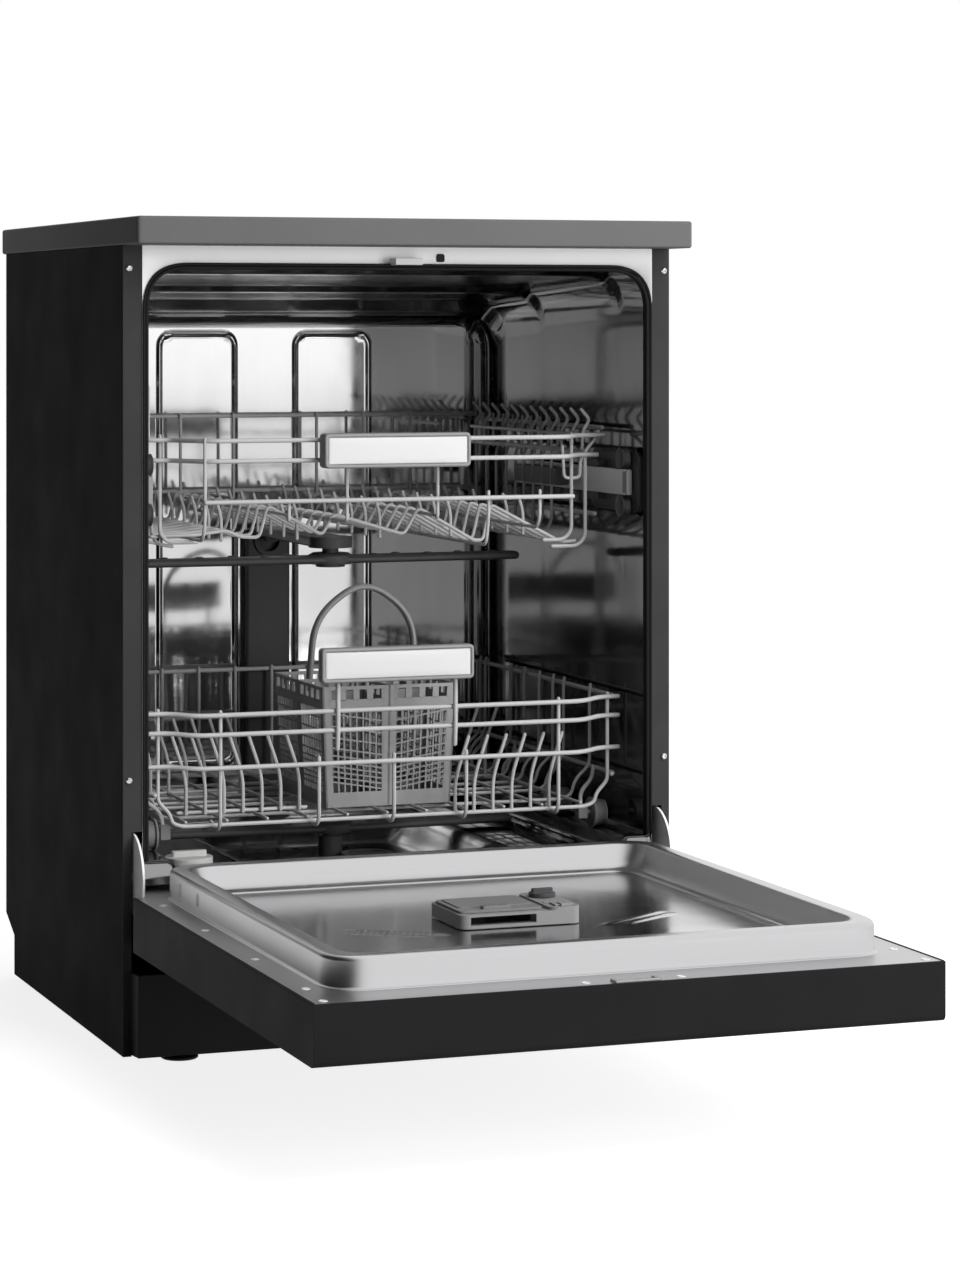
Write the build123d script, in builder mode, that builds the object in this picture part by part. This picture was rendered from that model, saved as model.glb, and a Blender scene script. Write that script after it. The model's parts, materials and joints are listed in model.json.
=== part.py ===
"""Freestanding dishwasher of the 60 cm class, with two racks and a drop-down door.

Millimetres. X to the right seen from the front, Y to the rear, Z up. The origin is on the
floor, under the middle of the cabinet. The model stands as it does in use while it is
being loaded: the door lies open and both racks are home in the tub.
"""

import math
import os

from build123d import *

os.makedirs("parts", exist_ok=True)

# Cabinet
HALF_WIDTH = 299.0
HALF_DEPTH = 300.0
HEIGHT = 845.0
WORKTOP_T = 28.0
UNDER_TOP = HEIGHT - WORKTOP_T
SHEET = 1.2
WALL = 2.5
PILLAR_Y = -240.0
PANEL_X = 298.0
PILLAR_INNER_X = 278.0
STRIP_INNER_X = 289.0
HINGE_CUT_Z = 228.0
BACK_Y = 282.0
NOTCH_Y = 241.0
PLINTH_Y = -262.0

# Base and rear fittings
FOOT_STEM_R = 5.0
FOOT_PLACES = ((-241, -246), (241, -246), (-241, 205), (241, 205))
PUMP_PAD_Z = 22.0
CONNECT_Z = 60.0
DRAIN_X, DRAIN_R, DRAIN_L = 150.0, 9.5, 22.0
INLET_X, INLET_R, INLET_L = 198.0, 13.2, 12.0
GLAND_X, GLAND_NECK_R, GLAND_BORE_R = -215.0, 9.0, 4.0
TRAY_REAR_Y = 238.0

# Door and hinge. The hinge line follows from the closed door's front face and the open door's level.
DOOR_FRONT_Y = -297.0
DOOR_T = 54.0
FLANGE_Y = DOOR_FRONT_Y + DOOR_T
DOOR_TOP_Z = 813.0
DOOR_FOOT_Z = 120.0
OPEN_FACE_Z = 114.0
OPEN_END_Y = -861.0
HINGE_SUM = OPEN_END_Y + DOOR_TOP_Z
HINGE_DIFF = OPEN_FACE_Z - DOOR_FRONT_Y
HINGE_Z = (HINGE_SUM + HINGE_DIFF) / 2
HINGE_Y = HINGE_SUM - HINGE_Z
DOOR_X = 297.0
DOOR_FOOT_X = 283.5
DOOR_NECK_Z = 228.0
FASCIA_Z = 713.0
FLANGE_Z = OPEN_FACE_Z + DOOR_T
HINGE_ARM_T = 2.5
HINGE_ARM_X = DOOR_FOOT_X + 0.8 + HINGE_ARM_T / 2
RIM_H = 29.0
RIM_X = 264.0
RIM_FOOT_Z = 213.0
RIM_W = 18.0
RIM_HEAD_Z = 764.0
DISH_Z = FLANGE_Z + 3.0
COVER_R = 45.0
PIN_R = 5.0
BUTTON_XS = (-255.0, 222.0, 255.0)
BUTTON_NAMES = ("power_button", "program_button", "start_button")
BUTTON_Y = (OPEN_END_Y + HINGE_SUM - FASCIA_Z) / 2
DISPENSER_Y = -532.5
DISPENSER_TOP = 187.0
LATCH_Z = 802.0
GROOVE_X = 243.0
GROOVE_W = 9.0
GROOVE_D = 2.3

# Tub
TUB_X = 274.5
TUB_TOP_Z = 796.5
TUB_BACK_Y = 250.0
TUB_CORNER_R = 42.0
TRACK_Z = FLANGE_Z + RIM_H + 0.7
TRACK_X = 246.0
FLOOR_Z = 178.0
SINK_Z = 150.0
SPRAY_Y = 4.0
SWITCH_X, SWITCH_Z, SWITCH_SIZE = 40.0, 806.0, 8.4
SALT_PLACE = (-200.0, -135.0)
SALT_Z = FLOOR_Z - SHEET
SEAL_W = 6.0
DOCK_Z = 487.0
HUB_R = 9.0
FILTER_PLACE = (34.0, SPRAY_Y - 26.0)
FILTER_R = 24.0

# Racks, home in the tub
LOWER_TRAVEL = 494.0
WHEEL_R = 14.0
WHEEL_DISC_R = 16.5
AXLE_R = 3.0
AXLE_Z = TRACK_Z + WHEEL_R + 0.3
WHEEL_YS = (182.0, 79.0, -52.0, -155.0)
LOWER_FRONT_Y = -192.5
LOWER_BULGE_Y = -209.0
LOWER_REAR_Y = 226.0
LOWER_TOP_Z = 340.0
LOWER_SIDE_Z = 257.0
LOWER_FLOOR_Z = 223.0
LOWER_X = 257.0
LOWER_HOOPS = (213, 196, 155, 113, 71, 24, -18, -50, -126, -176)
LOWER_TINE_Y = -171.0
SILL_X = 232.0
WHEEL_FACE_X = 257.5
WHEEL_DISC_X = 241.4
UPPER_FRONT_Y = -155.0
UPPER_BULGE_Y = -200.0
UPPER_REAR_Y = 222.0
UPPER_TOP_Z = 666.0
UPPER_FRONT_Z = 618.0
UPPER_FLOOR_Z = 513.0
UPPER_X = 248.0
UPPER_HOOPS = (206, 172, 140, 108, 78, 52, 23, -5, -33, -85, -135)
UPPER_STEPS = (
    (-243, 522), (-194, 518), (-128, 515), (-118, 540), (-60, 516), (-47, 536), (34, 514),
    (48, 540), (118, 508), (130, 540), (216, 506), (243, 508),
)
UPPER_RUNNERS = ((-194, 518), (-128, 515), (-60, 516), (34, 514), (118, 508), (216, 506))
RAIL_X = 264.0
RAIL_Z = 569.0
RAIL_HALF_H = 13.5
RAIL_FRONT_Y = -212.0
RAIL_REAR_Y = 120.0
ROLLER_R = 11.7
ROLLER_Y = -198.0
ROLLER_PIN_R = 2.5
WIRE_R = 2.5
THIN_R = 1.9

# Fits
GAP = 0.3
RUNNING = 0.05


def write(part, name):
    """Label a finished piece and write its STEP file."""
    part.label = name
    export_step(part, f"parts/{name}.step")


def open_y(closed_z):
    """Where a height on the closed door lies along Y once the door is open."""
    return HINGE_SUM - closed_z


def wire(points, radius, sides=6):
    """One bent wire: a polygon section carried along straight runs with mitred corners."""
    with BuildLine() as path:
        Polyline(*points)
    with BuildSketch(Plane(origin=path.line @ 0, z_dir=path.line % 0)) as section:
        RegularPolygon(radius=radius, side_count=sides)
    return sweep(section.sketch, path=path.line, transition=Transition.RIGHT)


def rod(start, end, radius):
    """A straight round rod, for a wire that turns in its clips."""
    run = Vector(*end) - Vector(*start)
    with BuildPart() as bar:
        with BuildSketch(Plane(origin=start, z_dir=run)):
            Circle(radius)
        extrude(amount=run.length)
    return bar.part


def weld(wires):
    """Join crossing wires into one grille."""
    with BuildPart() as grille:
        add(wires)
    return grille.part


def mirrored(part):
    """The same piece on the other side of the machine."""
    return mirror(part, about=Plane.YZ)


# Casing


def side_panels():
    """Painted side sheets with a rear return and the notch that clears the skirting."""
    with BuildPart() as right_side_panel:
        with BuildSketch(Plane.YZ.offset(PANEL_X - SHEET)):
            with BuildLine():
                Polyline(
                    (PILLAR_Y + SHEET, 3), (NOTCH_Y, 3), (NOTCH_Y, 47), (BACK_Y, 67),
                    (BACK_Y, UNDER_TOP), (PILLAR_Y + SHEET, UNDER_TOP), close=True,
                )
            make_face()
        extrude(amount=SHEET)
        with BuildSketch(Plane.XZ.offset(-BACK_Y)):
            with Locations((PANEL_X - 8, (70 + UNDER_TOP) / 2)):
                Rectangle(16, UNDER_TOP - 70)
        extrude(amount=SHEET)
    write(right_side_panel.part, "right_side_panel")
    write(mirrored(right_side_panel.part), "left_side_panel")


def front_pillars():
    """Folded strips that frame the opening, cut back beside the hinge."""
    with BuildPart() as right_pillar:
        with BuildSketch(Plane.XZ.offset(-PILLAR_Y - SHEET)):
            with BuildLine():
                Polyline(
                    (PILLAR_INNER_X, UNDER_TOP), (PANEL_X, UNDER_TOP), (PANEL_X, 3),
                    (STRIP_INNER_X, 3), (STRIP_INNER_X, HINGE_CUT_Z),
                    (PILLAR_INNER_X, HINGE_CUT_Z), close=True,
                )
            make_face()
        extrude(amount=SHEET)
        with BuildSketch(Plane.XY.offset(3)):
            with Locations((PANEL_X - SHEET * 1.5, PILLAR_Y + SHEET + 12)):
                Rectangle(SHEET, 24)
        extrude(amount=UNDER_TOP - 3)
    pair = Compound([right_pillar.part.solid(), mirrored(right_pillar.part).solid()])
    write(pair, "front_pillars")


def worktop():
    """Loose top board with softened front corners and edges."""
    with BuildPart() as top:
        with BuildSketch(Plane.XY.offset(UNDER_TOP)):
            RectangleRounded(2 * HALF_WIDTH, 2 * HALF_DEPTH, 4)
        extrude(amount=WORKTOP_T)
        fillet(top.faces().sort_by(Axis.Z)[-1].edges(), radius=1.5)
    write(top.part, "worktop")


def back_panel():
    """Rear sheet with two pressed stiffening ribs."""
    with BuildPart() as panel:
        with BuildSketch(Plane.XZ.offset(-(BACK_Y - SHEET))):
            with Locations((0, (112 + UNDER_TOP) / 2)):
                Rectangle(2 * (PANEL_X - SHEET), UNDER_TOP - 112)
        extrude(amount=SHEET)
        with BuildSketch(Plane.XZ.offset(-(BACK_Y - 2 * SHEET))):
            with Locations((-130, 470), (130, 470)):
                SlotOverall(520, 36, rotation=90)
        extrude(amount=5)
        with BuildSketch(Plane.XZ.offset(-(BACK_Y - SHEET))):
            with Locations((-130, 470), (130, 470)):
                SlotOverall(517, 33, rotation=90)
        extrude(amount=5, mode=Mode.SUBTRACT)
    write(panel.part, "back_panel")


def base_tray():
    """Moulded base: low under the door, higher under the tub, with foot sockets and the drain spout."""
    half_x, rear_y = PANEL_X - 5, TRAY_REAR_Y
    with BuildPart() as tray:
        with BuildSketch(Plane.YZ.offset(-half_x)):
            with BuildLine():
                Polyline(
                    (PILLAR_Y + SHEET, 9), (PILLAR_Y + SHEET, 86), (-134, 86), (-134, 110),
                    (rear_y, 110), (rear_y, 9), close=True,
                )
            make_face()
        extrude(amount=2 * half_x)
        with BuildSketch(Plane.YZ.offset(WALL - half_x)):
            with BuildLine():
                Polyline(
                    (PILLAR_Y + SHEET + WALL, 12), (PILLAR_Y + SHEET + WALL, 200),
                    (rear_y - WALL, 200), (rear_y - WALL, 12), close=True,
                )
            make_face()
        extrude(amount=2 * (half_x - WALL), mode=Mode.SUBTRACT)
        with BuildSketch(Plane.XY.offset(9)):
            with Locations(*FOOT_PLACES):
                Circle(12)
        extrude(amount=46)
        with BuildSketch(Plane.XY.offset(9)):
            with Locations((100, 120), (-90, 120)):
                Rectangle(70, 60)
        extrude(amount=PUMP_PAD_Z - 9)
        with BuildSketch(Plane.XY.offset(9)):
            with Locations(*FOOT_PLACES):
                Circle(FOOT_STEM_R + GAP)
        extrude(amount=50, mode=Mode.SUBTRACT)
        with BuildSketch(Plane.XZ.offset(-rear_y + WALL)):
            with Locations((DRAIN_X, CONNECT_Z)):
                Circle(DRAIN_R)
        extrude(amount=-(WALL + DRAIN_L))
        with BuildSketch(Plane.XZ.offset(-rear_y + WALL)):
            with Locations((DRAIN_X, CONNECT_Z)):
                Circle(DRAIN_R - 2.5)
            with Locations((INLET_X, CONNECT_Z)):
                Circle(INLET_R + GAP)
            with Locations((GLAND_X, CONNECT_Z)):
                Circle(GLAND_NECK_R)
        extrude(amount=-60, mode=Mode.SUBTRACT)
    write(tray.part, "base_tray")


def feet():
    """Four levelling feet: a wide pad on a threaded stem in its socket."""
    names = ("front_left_foot", "front_right_foot", "rear_left_foot", "rear_right_foot")
    for name, (x, y) in zip(names, FOOT_PLACES):
        with BuildPart() as foot:
            with BuildSketch(Plane.XY):
                with Locations((x, y)):
                    Circle(19)
            extrude(amount=4, taper=8)
            with BuildSketch(Plane.XY.offset(4)):
                with Locations((x, y)):
                    RegularPolygon(radius=11, side_count=6)
            extrude(amount=4.5)
            with BuildSketch(Plane.XY.offset(8)):
                with Locations((x, y)):
                    Circle(FOOT_STEM_R)
            extrude(amount=44)
        write(foot.part, name)


def plinth():
    """Kick plate set between the casing's strips, with slanted ends."""
    with BuildPart() as plate:
        with BuildSketch(Plane.XY.offset(5)):
            with BuildLine():
                Polyline(
                    (-291, PILLAR_Y), (-288, PLINTH_Y), (288, PLINTH_Y), (291, PILLAR_Y),
                    (288.4, PILLAR_Y), (285.6, PLINTH_Y + WALL), (-285.6, PLINTH_Y + WALL),
                    (-288.4, PILLAR_Y), close=True,
                )
            make_face()
        extrude(amount=83)
    write(plate.part, "plinth")


def rear_fittings():
    """Water inlet valve, cable gland and the ballast that keeps the open machine on its feet."""
    rear_y = TRAY_REAR_Y
    with BuildPart() as valve:
        with BuildSketch(Plane.XZ.offset(-rear_y + WALL)):
            with Locations((INLET_X, CONNECT_Z)):
                Circle(18)
        extrude(amount=16)
        with BuildSketch(Plane.XZ.offset(-rear_y + WALL)):
            with Locations((INLET_X, CONNECT_Z)):
                Circle(INLET_R - 1)
        extrude(amount=-(WALL + INLET_L))
        with BuildSketch(Plane.XZ.offset(-rear_y)):
            with Locations((INLET_X, CONNECT_Z)):
                Circle(INLET_R)
        extrude(amount=-INLET_L)
        with BuildSketch(Plane.XZ.offset(-rear_y - INLET_L)):
            with Locations((INLET_X, CONNECT_Z)):
                Circle(9)
        extrude(amount=12, mode=Mode.SUBTRACT)
        with BuildSketch(Plane.XZ.offset(-rear_y + WALL + 16)):
            with Locations((INLET_X, CONNECT_Z)):
                RectangleRounded(44, 44, 6)
        extrude(amount=22)
        with BuildSketch(Plane.XY.offset(CONNECT_Z + 20)):
            with Locations((INLET_X, rear_y - WALL - 27)):
                Circle(7)
        extrude(amount=20)
    write(valve.part, "inlet_valve")

    with BuildPart() as gland:
        with BuildSketch(Plane.XZ.offset(-rear_y - 5)):
            with Locations((GLAND_X, CONNECT_Z)):
                RegularPolygon(radius=14, side_count=6)
        extrude(amount=5)
        with BuildSketch(Plane.XZ.offset(-rear_y)):
            with Locations((GLAND_X, CONNECT_Z)):
                Circle(GLAND_NECK_R - 0.05)
        extrude(amount=10)
        with BuildSketch(Plane.XZ.offset(-rear_y - 5)):
            with Locations((GLAND_X, CONNECT_Z)):
                Circle(GLAND_BORE_R)
        extrude(amount=20, mode=Mode.SUBTRACT)
    write(gland.part, "cable_gland")

    with BuildPart() as ballast:
        with BuildSketch(Plane.XY.offset(12)):
            with Locations((0, 198)):
                RectangleRounded(300, 60, 8)
        extrude(amount=70)
        chamfer(ballast.faces().sort_by(Axis.Z)[-1].edges(), length=4)
    write(ballast.part, "counterweight")


def pumps():
    """Circulation pump lying on its cradle, and the smaller drain pump."""
    with BuildPart() as circulation:
        with BuildSketch(Plane.YZ.offset(50)):
            with Locations((120, PUMP_PAD_Z + 42)):
                Circle(35)
        extrude(amount=70)
        with BuildSketch(Plane.YZ.offset(120)):
            with Locations((120, PUMP_PAD_Z + 42)):
                Circle(42)
        extrude(amount=26)
        with BuildSketch(Plane.YZ.offset(146)):
            with Locations((120, PUMP_PAD_Z + 42)):
                Circle(16)
        extrude(amount=24)
    write(circulation.part, "circulation_pump")
    with BuildPart() as drain:
        with BuildSketch(Plane.YZ.offset(-120)):
            with Locations((120, PUMP_PAD_Z + 27)):
                Circle(22)
        extrude(amount=45)
        with BuildSketch(Plane.YZ.offset(-75)):
            with Locations((120, PUMP_PAD_Z + 27)):
                Circle(27)
        extrude(amount=20)
    write(drain.part, "drain_pump")


# Tub


def tub_outline(grow):
    """Half section of the tub: flat roof, rounded shoulders, wheel tracks and floor."""
    side, top, track, floor = TUB_X + grow, TUB_TOP_Z + grow, TRACK_Z - grow, FLOOR_Z - grow
    shoulder = TUB_CORNER_R + grow
    with BuildSketch(Plane.XZ) as outline:
        with BuildLine():
            Polyline(
                (-side, top - shoulder), (-side, track), (-TRACK_X, track), (-TRACK_X + 8, floor),
                (TRACK_X - 8, floor), (TRACK_X, track), (side, track), (side, top - shoulder),
            )
            RadiusArc((side, top - shoulder), (side - shoulder, top), -shoulder)
            Line((side - shoulder, top), (shoulder - side, top))
            RadiusArc((shoulder - side, top), (-side, top - shoulder), -shoulder)
        make_face()
    return outline.sketch


def tub():
    """Stainless tub: one thin shell with a stepped roof, tracks, sink and front flange."""

    def body(grow, front_y, back_y):
        with BuildPart() as block:
            add(tub_outline(grow).moved(Location((0, back_y, 0))))
            extrude(amount=back_y - front_y, dir=(0, -1, 0))
            roof = TUB_TOP_Z + grow
            with BuildSketch(Plane.YZ.offset(-TUB_X - 5)):
                with BuildLine():
                    Polyline(
                        (-170, roof), (-160, roof - 7), (60, roof - 16), (72, roof - 24),
                        (190, roof - 30), (228, roof - 46), (280, roof - 46), (280, roof + 5),
                        (-170, roof + 5), close=True,
                    )
                make_face()
            extrude(amount=2 * TUB_X + 10, mode=Mode.SUBTRACT)
            with BuildSketch(Plane.XY.offset(FLOOR_Z - grow)):
                with Locations((0, SPRAY_Y)):
                    RectangleRounded(300 + 2 * grow, 300 + 2 * grow, 40)
            with BuildSketch(Plane.XY.offset(SINK_Z - grow)):
                with Locations((0, SPRAY_Y)):
                    RectangleRounded(200 + 2 * grow, 200 + 2 * grow, 30)
            loft()
        return block.part

    inside = body(0, PILLAR_Y - 5, TUB_BACK_Y)
    outside = body(SHEET, PILLAR_Y, TUB_BACK_Y + SHEET)
    with BuildPart() as shell:
        add(outside)
        with BuildSketch(Plane.XZ.offset(-PILLAR_Y)):
            with BuildLine():
                Polyline(
                    (-PILLAR_INNER_X, UNDER_TOP), (-PILLAR_INNER_X, FLOOR_Z - 4),
                    (PILLAR_INNER_X, FLOOR_Z - 4), (PILLAR_INNER_X, UNDER_TOP), close=True,
                )
            make_face()
        extrude(amount=-SHEET)
        add(inside, mode=Mode.SUBTRACT)
        with BuildSketch(Plane.XY.offset(SINK_Z - 5)):
            with Locations((0, SPRAY_Y)):
                Circle(80)
        extrude(amount=6, mode=Mode.SUBTRACT)
        with BuildSketch(Plane.XZ.offset(-TUB_BACK_Y)):
            for x in (-81.5, 81.5):
                with Locations((x, 478)):
                    RectangleRounded(97, 505, 16)
                    RectangleRounded(83, 491, 10, mode=Mode.SUBTRACT)
        extrude(amount=3)
        with BuildSketch(Plane.XZ.offset(-PILLAR_Y)):
            with Locations((SWITCH_X, SWITCH_Z)):
                RectangleRounded(SWITCH_SIZE + 2 * GAP, SWITCH_SIZE + 2 * GAP, 2.5)
        extrude(amount=-SHEET, mode=Mode.SUBTRACT)
        with BuildSketch(Plane.XY.offset(SALT_Z - 6)):
            with Locations(SALT_PLACE):
                Circle(26)
        extrude(amount=40, mode=Mode.SUBTRACT)
    write(shell.part, "tub")


def tub_fittings():
    """Gasket, striker, door switch and the feed duct on the rear wall."""
    with BuildPart() as seal:
        with BuildSketch(Plane.XZ.offset(-FLANGE_Y - GAP)):
            with BuildLine():
                Polyline((-TUB_X, TRACK_Z), (-TUB_X, TUB_TOP_Z - TUB_CORNER_R))
                RadiusArc(
                    (-TUB_X, TUB_TOP_Z - TUB_CORNER_R), (TUB_CORNER_R - TUB_X, TUB_TOP_Z),
                    TUB_CORNER_R,
                )
                Line((TUB_CORNER_R - TUB_X, TUB_TOP_Z), (TUB_X - TUB_CORNER_R, TUB_TOP_Z))
                RadiusArc(
                    (TUB_X - TUB_CORNER_R, TUB_TOP_Z), (TUB_X, TUB_TOP_Z - TUB_CORNER_R),
                    TUB_CORNER_R,
                )
                Polyline(
                    (TUB_X, TUB_TOP_Z - TUB_CORNER_R), (TUB_X, TRACK_Z), (TUB_X - SEAL_W, TRACK_Z),
                    (TUB_X - SEAL_W, TUB_TOP_Z - TUB_CORNER_R),
                )
                RadiusArc(
                    (TUB_X - SEAL_W, TUB_TOP_Z - TUB_CORNER_R),
                    (TUB_X - TUB_CORNER_R, TUB_TOP_Z - SEAL_W), -(TUB_CORNER_R - SEAL_W),
                )
                Line((TUB_X - TUB_CORNER_R, TUB_TOP_Z - SEAL_W), (TUB_CORNER_R - TUB_X, TUB_TOP_Z - SEAL_W))
                RadiusArc(
                    (TUB_CORNER_R - TUB_X, TUB_TOP_Z - SEAL_W),
                    (SEAL_W - TUB_X, TUB_TOP_Z - TUB_CORNER_R), -(TUB_CORNER_R - SEAL_W),
                )
                Polyline((SEAL_W - TUB_X, TUB_TOP_Z - TUB_CORNER_R), (SEAL_W - TUB_X, TRACK_Z), (-TUB_X, TRACK_Z))
            make_face()
        extrude(amount=-12)
    write(seal.part, "tub_seal")

    with BuildPart() as striker:
        with BuildSketch(Plane.XY.offset(LATCH_Z - 3.5)):
            with BuildLine():
                Polyline(
                    (-15, PILLAR_Y), (-15, PILLAR_Y - 18), (15, PILLAR_Y - 18), (15, PILLAR_Y),
                    (9, PILLAR_Y), (9, PILLAR_Y - 12), (-9, PILLAR_Y - 12), (-9, PILLAR_Y), close=True,
                )
            make_face()
        extrude(amount=7)
    write(striker.part, "striker")

    with BuildPart() as switch:
        with BuildSketch(Plane.XZ.offset(-PILLAR_Y + 2.2)):
            with Locations((SWITCH_X, SWITCH_Z)):
                RectangleRounded(SWITCH_SIZE, SWITCH_SIZE, 2.2)
        extrude(amount=-14)
    write(switch.part, "door_switch")

    with BuildPart() as duct:
        with BuildSketch(Plane.XY.offset(FLOOR_Z + 2)):
            with Locations((0, TUB_BACK_Y - 10)):
                Trapezoid(56, 12, 70)
        extrude(amount=320)
        fillet(duct.edges().filter_by(Axis.Z).group_by(Axis.Y)[0], radius=4)
        with BuildSketch(Plane.XZ.offset(-(TUB_BACK_Y - 16))):
            with Locations((0, DOCK_Z)):
                Circle(18)
        extrude(amount=4)
        with BuildSketch(Plane.XZ.offset(-(TUB_BACK_Y - 20))):
            with Locations((0, DOCK_Z)):
                Circle(12)
        extrude(amount=-12, mode=Mode.SUBTRACT)
    write(duct.part, "feed_duct")


def sump_group():
    """Sump with its well, coarse filter plate, turning filter cup, salt cap and lower spray arm."""
    with BuildPart() as sump:
        with BuildSketch(Plane.XY.offset(SINK_Z - SHEET - 6)):
            with Locations((0, SPRAY_Y)):
                Circle(92)
        extrude(amount=6)
        with BuildSketch(Plane.XY.offset(SINK_Z - SHEET - 6)):
            with Locations((0, SPRAY_Y)):
                Circle(76)
        extrude(amount=-30, taper=8)
        with BuildSketch(Plane.XY.offset(SINK_Z - SHEET)):
            with Locations((0, SPRAY_Y)):
                Circle(72)
        extrude(amount=-26, taper=6, mode=Mode.SUBTRACT)
        with BuildSketch(Plane.XY.offset(SINK_Z - SHEET - 30)):
            with Locations((0, SPRAY_Y)):
                Circle(13)
        extrude(amount=FLOOR_Z - SINK_Z + SHEET + 30)
        with BuildSketch(Plane.XY.offset(FLOOR_Z)):
            with Locations((0, SPRAY_Y)):
                Circle(HUB_R)
        extrude(amount=4)
    write(sump.part, "sump")

    with BuildPart() as plate:
        with BuildSketch(Plane.XY.offset(SINK_Z)):
            with Locations((0, SPRAY_Y)):
                RectangleRounded(192, 192, 26)
                Circle(13.4, mode=Mode.SUBTRACT)
            with Locations(FILTER_PLACE):
                Circle(FILTER_R + GAP, mode=Mode.SUBTRACT)
            with Locations((0, SPRAY_Y)):
                with PolarLocations(80, 18):
                    SlotOverall(18, 3.4, mode=Mode.SUBTRACT)
        extrude(amount=2)
    write(plate.part, "filter_plate")

    with BuildPart() as cup:
        with BuildSketch(Plane.XY.offset(SINK_Z - 24)):
            with Locations(FILTER_PLACE):
                Circle(FILTER_R)
                Circle(FILTER_R - 2, mode=Mode.SUBTRACT)
        extrude(amount=30)
        with BuildSketch(Plane.XY.offset(SINK_Z - 24)):
            with Locations(FILTER_PLACE):
                Circle(FILTER_R)
        extrude(amount=2)
        with BuildSketch(Plane.XY.offset(SINK_Z + 2 + GAP)):
            with Locations(FILTER_PLACE):
                Circle(FILTER_R + 5)
                Circle(FILTER_R - 2, mode=Mode.SUBTRACT)
                Rectangle(2 * FILTER_R + 6, 5)
        extrude(amount=8)
    write(cup.part, "filter_cup")

    with BuildPart() as cap:
        with BuildSketch(Plane.XY.offset(SALT_Z)):
            with Locations(SALT_PLACE):
                Circle(25)
        extrude(amount=8)
        with BuildSketch(Plane.XY.offset(SALT_Z - 10)):
            with Locations(SALT_PLACE):
                Circle(22)
        extrude(amount=10)
        with BuildSketch(Plane.XY.offset(SALT_Z + 8)):
            with Locations(SALT_PLACE):
                SlotOverall(38, 8)
        extrude(amount=6)
        with BuildSketch(Plane.XY.offset(SALT_Z - 10)):
            with Locations(SALT_PLACE):
                Circle(18)
        extrude(amount=14, mode=Mode.SUBTRACT)
    write(cap.part, "salt_cap")


def spray_arm(name, reach, level, tips):
    """Hollow-looking spray arm: two tapered blades with raised nozzles round a hub."""
    with BuildPart() as arm:
        with BuildSketch(Plane.XY.offset(level)):
            with BuildLine():
                Polyline(
                    (-reach, -13), (-40, -22), (40, -22), (reach, -13 + tips), (reach + 6, 0),
                    (reach, 13), (40, 22), (-40, 22), (-reach, 13 - tips), (-reach - 6, 0), close=True,
                )
            make_face()
        extrude(amount=9)
        chamfer(arm.faces().sort_by(Axis.Z)[-1].edges(), length=2.5)
        with BuildSketch(Plane.XY.offset(level + 9)):
            with Locations(*[(side * reach * share, 0) for side in (-1, 1) for share in (0.35, 0.6, 0.85)]):
                SlotOverall(12, 5)
        extrude(amount=1.5)
        with BuildSketch(Plane.XY.offset(level)):
            Circle(25)
        extrude(amount=12)
        with BuildSketch(Plane.XY.offset(level - 1)):
            Circle(HUB_R + RUNNING)
        extrude(amount=20, mode=Mode.SUBTRACT)
    write(arm.part.moved(Location((0, SPRAY_Y, 0))), name)


# Door


def door_plan(inset, end_y):
    """Plan of the open door: full width, and narrow where it swings in between the strips."""
    neck_y, foot_y = open_y(DOOR_NECK_Z), open_y(DOOR_FOOT_Z) - inset
    wide, narrow = DOOR_X - inset, DOOR_FOOT_X - inset
    with BuildSketch(Plane.XY) as plan:
        with BuildLine():
            Polyline(
                (-wide, end_y), (-wide, neck_y - inset), (-narrow, neck_y - inset), (-narrow, foot_y),
                (narrow, foot_y), (narrow, neck_y - inset), (wide, neck_y - inset), (wide, end_y),
                close=True,
            )
        make_face()
    return plan.sketch


def door_panel():
    """Painted outer tray of the door."""
    with BuildPart() as panel:
        add(door_plan(0, open_y(FASCIA_Z)).moved(Location((0, 0, OPEN_FACE_Z))))
        extrude(amount=DOOR_T - SHEET, dir=(0, 0, 1))
        add(door_plan(SHEET, open_y(FASCIA_Z) - 5).moved(Location((0, 0, OPEN_FACE_Z + SHEET))))
        extrude(amount=DOOR_T, dir=(0, 0, 1), mode=Mode.SUBTRACT)
        with BuildSketch(Plane.XY.offset(OPEN_FACE_Z + SHEET)):
            with Locations((HINGE_ARM_X, open_y(DOOR_NECK_Z)), (-HINGE_ARM_X, open_y(DOOR_NECK_Z))):
                Rectangle(HINGE_ARM_T + 1.2, 12)
        extrude(amount=DOOR_T, mode=Mode.SUBTRACT)
    write(panel.part, "door_panel")


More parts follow.
